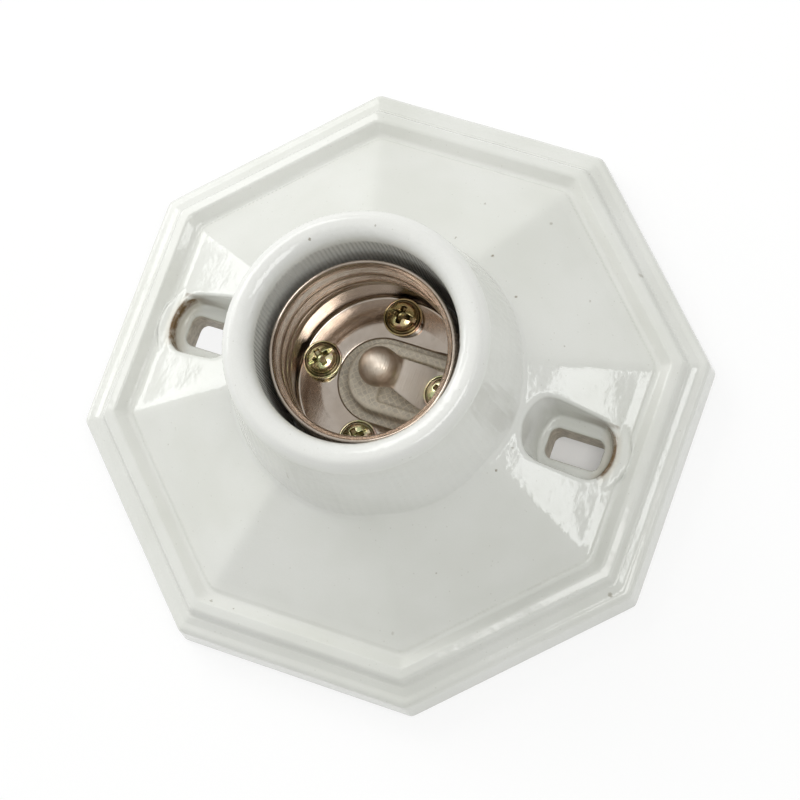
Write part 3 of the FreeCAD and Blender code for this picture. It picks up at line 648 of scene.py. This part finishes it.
def build_screws():
    """The four screws seen in the photograph, all from one pattern."""
    pattern = piece_from_field("screw_pattern", screw_head_field, (-3.1, -3.1, -2.6), (3.1, 3.1, 2.4),
                               SCREW_STEP, SCREW_TRIANGLES)
    screws = []
    for node, place, degrees, tip, axis in SCREWS:
        screw = bpy.data.objects.new(node + "_looks", pattern.data.copy())
        bpy.context.scene.collection.objects.link(screw)
        back = Matrix.Rotation(math.radians(-degrees), 2)
        stretch_shank(screw, place[2] - tip, back @ (Vector(axis) - Vector(place[:2])))
        screw.matrix_world = (Matrix.Translation(Vector(place) * MM)
                              @ Matrix.Rotation(math.radians(degrees), 4, "Z"))
        screws.append(stand_in_for(screw, node))
    bpy.data.objects.remove(pattern)
    return screws


def main_pieces():
    """The pieces whose looks are finer than the frame's own meshes."""
    body = piece_from_field("porcelain_looks", porcelain_field, (-45.2, -45.2, -0.1), (45.2, 45.2, 36.5),
                            PORCELAIN_STEP, PORCELAIN_TRIANGLES)
    stand_in_for(body, "porcelain_body")
    shell = stand_in_for(build_shell(), "screw_shell")
    contact = piece_from_field("contact_looks", contact_field, (-2.6, -3.8, 13.9), (12.6, 3.8, 24.8),
                               CONTACT_STEP, CONTACT_TRIANGLES)
    stand_in_for(contact, "centre_contact")
    return body, shell, contact, build_screws()


# Materials

class Graph:
    """Short calls for one material's nodes. Object coordinates come in millimetres."""

    def __init__(self, name):
        self.material = bpy.data.materials.new(name)
        self.material.use_nodes = True
        self.tree = self.material.node_tree
        self.shader = self.tree.nodes["Principled BSDF"]
        place = self.tree.nodes.new("ShaderNodeTexCoord").outputs["Object"]
        self.place = self.vector("SCALE", place, scale=1 / MM)
        self.x, self.y, self.z = self.split(self.place)
        flat = self.tree.nodes.new("ShaderNodeCombineXYZ")
        self.put(self.x, flat.inputs[0])
        self.put(self.y, flat.inputs[1])
        self.radius = self.vector("LENGTH", flat.outputs[0])

    def put(self, value, socket):
        if isinstance(value, bpy.types.NodeSocket):
            self.tree.links.new(value, socket)
        elif isinstance(value, tuple) and len(value) == 3 and socket.type == "RGBA":
            socket.default_value = (*value, 1.0)
        else:
            socket.default_value = value

    def vector(self, operation, a, b=None, scale=None):
        node = self.tree.nodes.new("ShaderNodeVectorMath")
        node.operation = operation
        self.put(a, node.inputs[0])
        if b is not None:
            self.put(b, node.inputs[1])
        if scale is not None:
            self.put(scale, node.inputs["Scale"])
        return node.outputs["Value" if operation in ("LENGTH", "DISTANCE", "DOT_PRODUCT") else "Vector"]

    def split(self, vector):
        node = self.tree.nodes.new("ShaderNodeSeparateXYZ")
        self.put(vector, node.inputs[0])
        return node.outputs

    def mirrored(self, point):
        """A point given for the +X side, moved to whichever side the shaded place is on."""
        side = self.math("SIGN", self.x)
        node = self.tree.nodes.new("ShaderNodeCombineXYZ")
        self.put(self.math("MULTIPLY", side, point[0]), node.inputs[0])
        self.put(point[1], node.inputs[1])
        self.put(point[2], node.inputs[2])
        return node.outputs[0]

    def math(self, operation, a, b=0.0):
        node = self.tree.nodes.new("ShaderNodeMath")
        node.operation = operation
        self.put(a, node.inputs[0])
        self.put(b, node.inputs[1])
        return node.outputs[0]

    def ramp(self, value, low, high, start=0.0, finish=1.0):
        """A smooth change from start to finish as the value goes from low to high."""
        node = self.tree.nodes.new("ShaderNodeMapRange")
        node.interpolation_type = "SMOOTHSTEP"
        for socket, number in zip(node.inputs, (value, low, high, start, finish)):
            self.put(number, socket)
        return node.outputs[0]

    def between(self, value, start, full_from, full_to, end):
        """One from full_from to full_to, fading to nothing at start and end."""
        return self.math("MULTIPLY", self.ramp(value, start, full_from), self.ramp(value, end, full_to))

    def all_of(self, *shares):
        """The product of all the shares."""
        total = shares[0]
        for share in shares[1:]:
            total = self.math("MULTIPLY", total, share)
        return total

    def mix(self, share, a, b):
        """The colour that goes from a to b as the share goes from 0 to 1."""
        node = self.tree.nodes.new("ShaderNodeMix")
        node.data_type = "RGBA"
        self.put(share, node.inputs["Factor"])
        self.put(a, node.inputs[6])
        self.put(b, node.inputs[7])
        return node.outputs[2]

    def noise(self, scale, detail=2.0, roughness=0.5, stretch=None, distortion=0.0):
        """Noise whose features are about one over the scale in millimetres."""
        node = self.tree.nodes.new("ShaderNodeTexNoise")
        place = self.place if stretch is None else self.vector("MULTIPLY", self.place, stretch)
        self.put(place, node.inputs["Vector"])
        settings = {"Scale": scale, "Detail": detail, "Roughness": roughness, "Distortion": distortion}
        for name, number in settings.items():
            self.put(number, node.inputs[name])
        return node.outputs["Fac"]

    def cells(self, scale):
        """Distance to the middle of the nearest random cell, and that cell's own chance from 0 to 1."""
        node = self.tree.nodes.new("ShaderNodeTexVoronoi")
        self.put(self.place, node.inputs["Vector"])
        self.put(scale, node.inputs["Scale"])
        return node.outputs["Distance"], self.split(node.outputs["Color"])[0]

    def bump(self, height, distance_mm, normal=None):
        """Relief of the given height over the normal, where the height goes from 0 to 1."""
        node = self.tree.nodes.new("ShaderNodeBump")
        self.put(height, node.inputs["Height"])
        self.put(distance_mm * MM, node.inputs["Distance"])
        self.put(1.0, node.inputs["Strength"])
        if normal is not None:
            self.put(normal, node.inputs["Normal"])
        return node.outputs["Normal"]

    def rounded_edges(self, radius_mm):
        node = self.tree.nodes.new("ShaderNodeBevel")
        node.samples = 4
        self.put(radius_mm * MM, node.inputs["Radius"])
        return node.outputs["Normal"]

    def finish(self, **values):
        for name, value in values.items():
            self.put(value, self.shader.inputs[name.replace("_", " ")])
        return self.material


def put_on(obj, material):
    obj.data.materials.clear()
    obj.data.materials.append(material)


GLAZE = (0.752, 0.754, 0.722)
GLAZE_DEEP = (0.650, 0.656, 0.602)
# Lighter glaze for the lip's crest: painted light
GLAZE_LIP_PAINTED_LIGHT = (0.790, 0.788, 0.765)
BISCUIT = (0.780, 0.720, 0.605)
BISCUIT_DARK = (0.570, 0.520, 0.430)
# Pale biscuit for the scratches, and painted highlight on the boss's top edge
BISCUIT_PALE_AND_HIGHLIGHT = (0.980, 0.900, 0.740)
RIM_BISCUIT = (0.700, 0.680, 0.620)
# Dark brown for the recess ends, also used as painted shade on one recess wall
STAIN_AND_WALL_SHADE = (0.150, 0.090, 0.038)
STAIN_HALO = (0.520, 0.450, 0.330)
SLOT_WALL = (0.620, 0.540, 0.410)
SLOT_DIRT = (0.340, 0.270, 0.170)
SPECK = (0.170, 0.125, 0.060)
PINHOLE = (0.460, 0.450, 0.390)
FLAT = (1.0, 1.0, 0.0)
GLAZE_IOR = 1.52
COLLAR_RIPPLES = 96
BORE_RIPPLES = 144

# Iron specks in the glaze: (x, y, radius, share of the speck's colour)
IRON_SPECKS = (
    (-11.2, 11.9, 0.30, 0.8), (-2.7, 16.6, 0.20, 0.5), (-4.6, 12.5, 0.22, 0.6), (3.9, 23.2, 0.25, 0.6),
    (5.1, 30.8, 0.25, 0.5), (10.2, 22.1, 0.28, 0.9), (15.6, 17.2, 0.28, 0.8), (15.5, 31.0, 0.35, 0.45),
    (25.1, 21.3, 0.28, 0.4), (30.5, 28.0, 0.45, 0.5), (21.8, -8.6, 0.26, 0.9), (41.7, -19.2, 0.45, 0.6),
    (22.9, -4.6, 0.25, 0.5), (-14.5, -38.9, 0.30, 0.5), (-5.0, -20.1, 0.25, 0.4), (13.6, -35.0, 0.30, 0.25),
)


def iron_specks(graph):
    """Share of the speck colour over the glaze, from the named specks and a few stray grains."""
    flat = graph.vector("MULTIPLY", graph.place, FLAT)
    wobble = graph.ramp(graph.noise(3.0, 1.0), 0.2, 0.8, -0.10, 0.10)
    total = 0.0
    for x, y, radius, share in IRON_SPECKS:
        far = graph.math("ADD", graph.vector("DISTANCE", flat, (x, y, 0.0)), wobble)
        spot = graph.ramp(far, radius * 0.95, radius * 0.35, 0.0, 0.8 * share)
        total = graph.math("MAXIMUM", total, spot)
    far, chance = graph.cells(0.28)
    stray = graph.all_of(graph.ramp(far, 0.055, 0.02), graph.ramp(chance, 0.86, 0.9, 0.0, 0.5))
    total = graph.math("MAXIMUM", total, stray)
    return graph.math("MULTIPLY", total, graph.ramp(graph.z, 4.5, 5.5))


def flutes(graph, count):
    """Fine upright ripples round the axis, a little uneven."""
    turn = graph.math("ARCTAN2", graph.y, graph.x)
    drift = graph.ramp(graph.noise(0.16, 1.0, stretch=(1.0, 1.0, 0.2)), 0.2, 0.8, -1.6, 1.6)
    return graph.math("SINE", graph.math("ADD", graph.math("MULTIPLY", turn, float(count)), drift))


def stain_and_wall_shade_shares(graph, side_x, side_y, mottle):
    """The brown deposit at the outer end of each recess, painted shade mixed with brown along one wall of it,
    and the halo round it.
    """
    end_radius = graph.vector("DISTANCE", graph.vector("MULTIPLY", graph.place, FLAT),
                              graph.mirrored((29.35, 0.0, 0.0)))
    at_end = graph.all_of(graph.ramp(side_x, 32.2, 34.0), graph.ramp(side_y, 5.4, 4.6),
                          graph.between(graph.z, 5.9, 6.3, 8.7, 9.2))
    stain = graph.all_of(at_end, graph.between(end_radius, 5.3, 6.15, 6.55, 7.0),
                         graph.ramp(mottle, 0.25, 0.6, 0.5, 1.0), graph.ramp(graph.z, 6.9, 7.7, 0.25, 1.0))
    # Painted shade, partly real brown: the recess wall that faces away from the key light is darkened with the
    # stain colour
    wall_shade_and_stain = graph.all_of(graph.between(side_x, 26.5, 33.5, 35.0, 35.6),
                             graph.between(graph.y, 3.9, 4.4, 4.55, 4.8),
                             graph.between(graph.z, 6.3, 6.9, 8.5, 11.0), 0.6)
    halo = graph.all_of(at_end, graph.between(end_radius, 3.5, 5.5, 6.8, 7.8), 0.35)
    return graph.math("MAXIMUM", stain, wall_shade_and_stain), halo


def bare_body(graph, mottle):
    """Unglazed biscuit, with pale crossed scratches on the boss and a light line along its rounded top edge: a
    paler edge with painted highlight.
    """
    slant = graph.math("ADD", graph.x, graph.y)
    across = graph.math("SUBTRACT", graph.x, graph.y)
    uneven = graph.ramp(graph.noise(0.9, 2.0), 0.2, 0.8, -1.5, 1.5)
    first = graph.math("SINE", graph.math("ADD", graph.math("MULTIPLY", slant, 6.2), uneven))
    second = graph.math("SINE", graph.math("ADD", graph.math("MULTIPLY", across, 5.6), uneven))
    scratches = graph.math("MAXIMUM", graph.ramp(first, 0.74, 1.0), graph.ramp(second, 0.74, 1.0))
    colour = graph.mix(graph.ramp(mottle, 0.3, 0.75), BISCUIT, BISCUIT_DARK)
    colour = graph.mix(graph.math("MULTIPLY", scratches, 0.62), colour, BISCUIT_PALE_AND_HIGHLIGHT)
    # Painted highlight along the boss's rounded top edge, on a paler biscuit edge
    edge = graph.all_of(graph.between(graph.z, 15.0, 15.25, 15.55, 15.75), 0.55)
    return graph.mix(edge, colour, BISCUIT_PALE_AND_HIGHLIGHT)


def glazed_porcelain():
    graph = Graph("glazed_porcelain")
    side_x = graph.math("ABSOLUTE", graph.x)
    side_y = graph.math("ABSOLUTE", graph.y)
    mottle = graph.noise(0.9, 3.0, 0.6)

    # Where the body is bare: the boss and floor inside the shell, the foot's rim, the slot walls
    core = graph.all_of(graph.ramp(graph.radius, 14.75, 14.55), graph.between(graph.z, 10.8, 11.2, 16.2, 16.6))
    rim = graph.ramp(graph.z, 0.34, 0.18)
    slot_wall = graph.all_of(graph.between(side_x, 24.7, 25.0, 34.0, 34.4), graph.ramp(side_y, 3.0, 2.75),
                             graph.ramp(graph.z, 6.15, 5.6))
    stain, halo = stain_and_wall_shade_shares(graph, side_x, side_y, mottle)

    # Glaze colour: clouded, lighter on the lip as painted light, finely grained, with pinholes, specks and
    # stains; the stain share also holds painted shade on one recess wall
    cloud = graph.noise(0.06, 3.0, 0.55)
    grain = graph.noise(4.5, 2.0, 0.6)
    colour = graph.mix(graph.ramp(cloud, 0.3, 0.75, 0.0, 0.55), GLAZE, GLAZE_DEEP)
    # Painted light: the lip's crest is given the lighter glaze colour
    painted_lip_light = graph.all_of(graph.ramp(graph.z, 34.6, 36.0), graph.ramp(graph.radius, 23.0, 22.0), 0.9)
    colour = graph.mix(painted_lip_light, colour, GLAZE_LIP_PAINTED_LIGHT)
    colour = graph.mix(graph.ramp(grain, 0.35, 0.75, 0.0, 0.14), colour, GLAZE_DEEP)
    pin, pin_chance = graph.cells(1.1)
    pinholes = graph.all_of(graph.ramp(pin, 0.16, 0.06), graph.ramp(pin_chance, 0.72, 0.78, 0.0, 0.35))
    colour = graph.mix(pinholes, colour, PINHOLE)
    colour = graph.mix(iron_specks(graph), colour, SPECK)
    colour = graph.mix(halo, colour, STAIN_HALO)
    # The stain share holds real brown at the recess ends and painted shade on one recess wall
    colour = graph.mix(stain, colour, STAIN_AND_WALL_SHADE)

    colour = graph.mix(core, colour, bare_body(graph, mottle))
    wall = graph.mix(graph.ramp(mottle, 0.3, 0.7), SLOT_WALL, SLOT_DIRT)
    colour = graph.mix(graph.math("MULTIPLY", slot_wall, 0.85), colour, wall)
    colour = graph.mix(rim, colour, RIM_BISCUIT)

    rough = graph.math("MAXIMUM", graph.math("MAXIMUM", core, rim), graph.math("MULTIPLY", slot_wall, 0.5))
    roughness = graph.ramp(rough, 0.0, 1.0, 0.075, 0.72)

    # Relief: throwing ripples on the collar and in the bore, orange peel in the glaze, bare grain
    on_collar = graph.all_of(graph.between(graph.radius, 19.0, 19.4, 23.0, 24.0),
                             graph.between(graph.z, 17.0, 19.5, 33.0, 34.3))
    in_bore = graph.all_of(graph.between(graph.radius, 14.6, 14.8, 15.3, 15.7),
                           graph.between(graph.z, 12.5, 13.0, 33.5, 34.6))
    normal = graph.bump(graph.math("MULTIPLY", flutes(graph, COLLAR_RIPPLES), on_collar), 0.014)
    normal = graph.bump(graph.math("MULTIPLY", flutes(graph, BORE_RIPPLES), in_bore), 0.035, normal)
    normal = graph.bump(graph.noise(0.35, 2.0, 0.5), 0.05, normal)
    normal = graph.bump(graph.noise(1.6, 2.0, 0.5), 0.010, normal)
    normal = graph.bump(graph.math("MULTIPLY", graph.noise(6.0, 3.0, 0.65), rough), 0.12, normal)
    return graph.finish(Base_Color=colour, Roughness=roughness, IOR=GLAZE_IOR, Normal=normal)


SHEET_BRIGHT, SHEET_TARNISH, SHEET_FLOOR_DARK = (0.64, 0.555, 0.485), (0.47, 0.385, 0.31), (0.40, 0.35, 0.30)
# Near-white strip colours that stand in for the strip's reflection: painted sheen
STRIP_PAINTED_SHEEN, STRIP_PAINTED_SHEEN_DULL = (1.0, 0.93, 0.85), (0.96, 0.88, 0.79)
DOME_BRIGHT, DOME_DULL = (0.84, 0.75, 0.65), (0.70, 0.60, 0.50)
STRIP_METALLIC = 0.12
# Dark colour for dirt and painted shade in the screw heads' recesses
SCREW_DIRT_AND_SHADE = (0.11, 0.085, 0.04)

# Green, gold and rose of the passivated screws
ZINC_TONES = (0.60, 0.64, 0.36), (0.82, 0.75, 0.48), (0.80, 0.58, 0.49)
BROWNED_TONES = (0.50, 0.45, 0.22), (0.68, 0.54, 0.29), (0.60, 0.38, 0.27)


def nickel_sheet():
    """Drawn nickel-plated sheet: spun lines up the wall, fine crossing scuffs on the floor."""
    graph = Graph("nickel_sheet")
    rings = graph.noise(1.0, 3.0, 0.6, stretch=(0.12, 0.12, 7.0))
    scuffs = graph.noise(1.2, 3.0, 0.65, stretch=(5.0, 0.6, 1.0))
    on_wall = graph.all_of(graph.ramp(graph.radius, 12.0, 12.6), graph.ramp(graph.z, 12.6, 13.6))
    tarnish = graph.noise(0.16, 3.0, 0.6)
    colour = graph.mix(graph.ramp(tarnish, 0.35, 0.7, 0.0, 0.6), SHEET_BRIGHT, SHEET_TARNISH)
    # Patchy, darker colour on the shell's floor, darker towards the bottom
    floor_darkening = graph.all_of(graph.ramp(graph.noise(0.5, 3.0, 0.6), 0.52, 0.75, 0.0, 0.35),
                         graph.ramp(graph.z, 13.2, 12.3))
    colour = graph.mix(floor_darkening, colour, SHEET_FLOOR_DARK)
    roughness = graph.math("ADD", graph.ramp(scuffs, 0.3, 0.8, 0.09, 0.18),
                           graph.math("MULTIPLY", on_wall, graph.ramp(rings, 0.3, 0.7, -0.05, 0.0)))
    normal = graph.bump(graph.math("MULTIPLY", rings, on_wall), 0.030)
    normal = graph.bump(scuffs, 0.004, normal)
    return graph.finish(Base_Color=colour, Metallic=1.0, Roughness=roughness, Normal=normal)


def contact_strip():
    """Brushed nickel-plated strip, its flat painted near white and mostly diffuse as a painted sheen, its dome
    rubbed bright.
    """
    graph = Graph("contact_strip")
    brushed = graph.noise(1.0, 3.0, 0.6, stretch=(7.0, 0.25, 3.0))
    cloud = graph.noise(0.5, 2.0)
    on_dome = graph.all_of(graph.ramp(graph.z, 19.6, 20.6), graph.ramp(graph.x, 4.3, 3.7))
    # Painted sheen: the strip's flat gets a near-white colour with little metallic
    strip = graph.mix(graph.ramp(cloud, 0.3, 0.7), STRIP_PAINTED_SHEEN, STRIP_PAINTED_SHEEN_DULL)
    dome = graph.mix(graph.ramp(cloud, 0.3, 0.7), DOME_BRIGHT, DOME_DULL)
    colour = graph.mix(on_dome, strip, dome)
    metallic = graph.ramp(on_dome, 0.0, 1.0, STRIP_METALLIC, 1.0)
    roughness = graph.math("SUBTRACT", graph.ramp(brushed, 0.3, 0.7, 0.46, 0.60),
                           graph.math("MULTIPLY", on_dome, 0.12))
    normal = graph.bump(brushed, 0.08)
    return graph.finish(Base_Color=colour, Metallic=metallic, Roughness=roughness, Normal=normal)


def passivated_zinc(name, green, gold, rose, dirt_and_shade_share):
    """Yellow-passivated screws, with a green and rosy bloom, and dirt with painted shade in the cross and the
    groove.
    """
    graph = Graph(name)
    bloom = graph.noise(0.55, 2.0, 0.5, distortion=0.6)
    colour = graph.mix(graph.ramp(bloom, 0.36, 0.5), green, gold)
    colour = graph.mix(graph.ramp(bloom, 0.52, 0.66), colour, rose)
    pit = graph.all_of(graph.ramp(graph.radius, 1.9, 1.5), graph.ramp(graph.z, 1.75, 1.25))
    groove = graph.all_of(graph.between(graph.radius, 2.15, 2.3, 2.65, 2.75), graph.ramp(graph.z, 1.1, 0.8))
    # Painted shade with dirt: the cross's pit and the groove round the head are darkened
    dirt_and_shade = graph.math("MAXIMUM", graph.math("MULTIPLY", pit, dirt_and_shade_share), graph.math("MULTIPLY", groove, 0.8))
    colour = graph.mix(dirt_and_shade, colour, SCREW_DIRT_AND_SHADE)
    grain = graph.noise(3.0, 3.0, 0.6)
    roughness = graph.ramp(grain, 0.3, 0.7, 0.12, 0.22)
    return graph.finish(Base_Color=colour, Metallic=1.0, Roughness=roughness, Normal=graph.bump(grain, 0.007))


def plain_metal(name, bright, dull, roughness):
    """Stamped or turned metal with a worn, slightly clouded surface and rounded edges."""
    graph = Graph(name)
    cloud = graph.noise(0.35, 3.0, 0.6)
    grain = graph.noise(2.5, 3.0, 0.6, stretch=(1.0, 0.35, 1.0))
    colour = graph.mix(graph.ramp(cloud, 0.35, 0.7), bright, dull)
    rough = graph.ramp(grain, 0.3, 0.75, roughness - 0.06, roughness + 0.10)
    normal = graph.bump(grain, 0.012, graph.rounded_edges(0.14))
    return graph.finish(Base_Color=colour, Metallic=1.0, Roughness=rough, Normal=normal)


def dress(frame, body, shell, contact, screws):
    put_on(body, glazed_porcelain())
    put_on(shell, nickel_sheet())
    put_on(contact, contact_strip())
    zinc = passivated_zinc("passivated_zinc", *ZINC_TONES, dirt_and_shade_share=0.40)
    browned = passivated_zinc("browned_zinc", *BROWNED_TONES, dirt_and_shade_share=0.75)
    for screw in screws:
        put_on(screw, browned if screw.name.startswith("shell_screw_north") else zinc)
    brass = plain_metal("terminal_brass", (0.76, 0.59, 0.30), (0.58, 0.42, 0.19), 0.34)
    steel = plain_metal("bright_steel", (0.66, 0.66, 0.64), (0.48, 0.48, 0.46), 0.32)
    yellow = plain_metal("wire_screw_zinc", (0.78, 0.70, 0.42), (0.62, 0.60, 0.34), 0.30)
    for node, obj in frame["nodes"].items():
        if obj.hide_render:
            continue
        if "plate" in node:
            put_on(obj, brass)
        elif "terminal_screw" in node:
            put_on(obj, yellow)
        else:
            put_on(obj, steel)


# Camera, solved from the photograph: turn as axis times angle, shift in millimetres, in the view's directions

CAMERA_TURN = (2.864, 0.473, -0.321)
CAMERA_SHIFT = (-0.206, 0.284, 436.971)
FOCAL_PIXELS = 2849.8
PICTURE_PIXELS = 800.0
SENSOR_WIDTH = 36.0


def build_camera():
    data = bpy.data.cameras.new("camera")
    camera = bpy.data.objects.new("camera", data)
    bpy.context.scene.collection.objects.link(camera)
    turn = Vector(CAMERA_TURN)
    world_to_view = Matrix.Rotation(turn.length, 4, turn.normalized())
    shift = Matrix.Translation(Vector(CAMERA_SHIFT) * MM)
    flip = Matrix.Diagonal((1, -1, -1, 1))
    camera.matrix_world = (flip @ shift @ world_to_view).inverted()
    data.sensor_width = SENSOR_WIDTH
    data.lens = FOCAL_PIXELS * SENSOR_WIDTH / PICTURE_PIXELS
    data.clip_start, data.clip_end = 0.01, 20.0
    bpy.context.scene.camera = camera


# Stage and light

FLOOR_WHITE_SHARE = 0.78
FLOOR_SIZE = 6.0
FLOOR_DROP = 0.0001
WORLD_COLOUR = (0.985, 1.0, 0.985, 1.0)
PAPER_COLOUR = (0.96, 0.96, 0.96, 1.0)

# Soft boxes: name, azimuth and elevation in degrees, distance, width and height in metres, radiance, colour
SOFT_BOXES = (
    ("key", 148.0, 36.0, 1.30, 0.80, 0.80, 2.9, (1.0, 0.998, 0.99)),
    ("east_window", 9.0, 35.5, 1.20, 0.42, 0.092, 5.0, (0.98, 1.0, 1.0)),
    ("west_window", 172.0, 14.0, 1.20, 0.62, 0.34, 3.2, (0.98, 1.0, 1.0)),
    ("overhead", -10.0, 68.0, 1.20, 0.52, 0.52, 4.2, (1.0, 0.995, 0.98)),
)


def direction(azimuth, elevation):
    azimuth, elevation = math.radians(azimuth), math.radians(elevation)
    return Vector((math.cos(azimuth) * math.cos(elevation), math.sin(azimuth) * math.cos(elevation),
                   math.sin(elevation)))


def build_lamps():
    for name, azimuth, elevation, distance, width, height, radiance, colour in SOFT_BOXES:
        data = bpy.data.lights.new(name, "AREA")
        data.shape = "RECTANGLE"
        data.size = width
        data.size_y = height
        data.energy = radiance * math.pi * width * height
        data.color = colour
        lamp = bpy.data.objects.new(name, data)
        bpy.context.scene.collection.objects.link(lamp)
        toward = direction(azimuth, elevation)
        lamp.location = toward * distance
        lamp.rotation_euler = (-toward).to_track_quat("-Z", "Y").to_euler()


def straight_ramp(tree, value, numbers):
    """A straight change of a value: from low and high, to low and high."""
    node = tree.nodes.new("ShaderNodeMapRange")
    for socket, number in zip(list(node.inputs)[1:5], numbers):
        socket.default_value = number
    tree.links.new(value, node.inputs[0])
    return node.outputs[0]


def build_world():
    """A bright room: lighter towards the key side and overhead, dimmer behind the far side."""
    world = bpy.data.worlds.new("room")
    bpy.context.scene.world = world
    world.use_nodes = True
    tree = world.node_tree
    background = tree.nodes["Background"]
    background.inputs["Color"].default_value = WORLD_COLOUR
    coordinates = tree.nodes.new("ShaderNodeTexCoord")
    along = tree.nodes.new("ShaderNodeVectorMath")
    along.operation = "DOT_PRODUCT"
    along.inputs[1].default_value = direction(150.0, 15.0)
    tree.links.new(coordinates.outputs["Generated"], along.inputs[0])
    strength = straight_ramp(tree, along.outputs["Value"], (-0.9, 1.0, 0.40, 0.73))
    tree.links.new(strength, background.inputs["Strength"])


def paper_white_and_painted_light_share(tree):
    """The paper's white share: even outside; under the object it is painted light, whiter under the slot on
    the key side and greyer under the slot that lies away from the key light.
    """
    place = tree.nodes.new("ShaderNodeTexCoord").outputs["Object"]
    parts = tree.nodes.new("ShaderNodeSeparateXYZ")
    tree.links.new(place, parts.inputs[0])
    far = tree.nodes.new("ShaderNodeVectorMath")
    far.operation = "LENGTH"
    tree.links.new(place, far.inputs[0])
    # Painted light: a high white share under the west slot, a low one under the east slot
    under = straight_ramp(tree, parts.outputs[0], (-0.025, 0.025, 0.86, 0.20))
    outside = straight_ramp(tree, far.outputs["Value"], (0.040, 0.044, 0.0, 1.0))
    blend = tree.nodes.new("ShaderNodeMix")
    blend.inputs[3].default_value = FLOOR_WHITE_SHARE
    tree.links.new(outside, blend.inputs[0])
    tree.links.new(under, blend.inputs[2])
    return blend.outputs[0]


def white_floor():
    """Paper that looks white to the camera and in reflections, and keeps a soft shadow."""
    material = bpy.data.materials.new("white_paper")
    material.use_nodes = True
    tree = material.node_tree
    shader = tree.nodes["Principled BSDF"]
    shader.inputs["Base Color"].default_value = PAPER_COLOUR
    shader.inputs["Roughness"].default_value = 0.9
    white = tree.nodes.new("ShaderNodeEmission")
    path = tree.nodes.new("ShaderNodeLightPath")
    seen = path.outputs["Is Camera Ray"]
    for name in ("Is Glossy Ray", "Is Transmission Ray"):
        either = tree.nodes.new("ShaderNodeMath")
        either.operation = "MAXIMUM"
        tree.links.new(seen, either.inputs[0])
        tree.links.new(path.outputs[name], either.inputs[1])
        seen = either.outputs[0]
    share = tree.nodes.new("ShaderNodeMath")
    share.operation = "MULTIPLY"
    tree.links.new(seen, share.inputs[0])
    tree.links.new(paper_white_and_painted_light_share(tree), share.inputs[1])
    blend = tree.nodes.new("ShaderNodeMixShader")
    tree.links.new(share.outputs[0], blend.inputs[0])
    tree.links.new(shader.outputs[0], blend.inputs[1])
    tree.links.new(white.outputs[0], blend.inputs[2])
    tree.links.new(blend.outputs[0], tree.nodes["Material Output"].inputs["Surface"])
    return material


def build_stage():
    bpy.ops.mesh.primitive_plane_add(size=FLOOR_SIZE, location=(0, 0, -FLOOR_DROP))
    floor = bpy.context.object
    floor.name = "floor"
    put_on(floor, white_floor())
    build_world()
    build_lamps()


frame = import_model()
dress(frame, *main_pieces())
build_camera()
build_stage()
bpy.context.scene.view_settings.view_transform = "Standard"
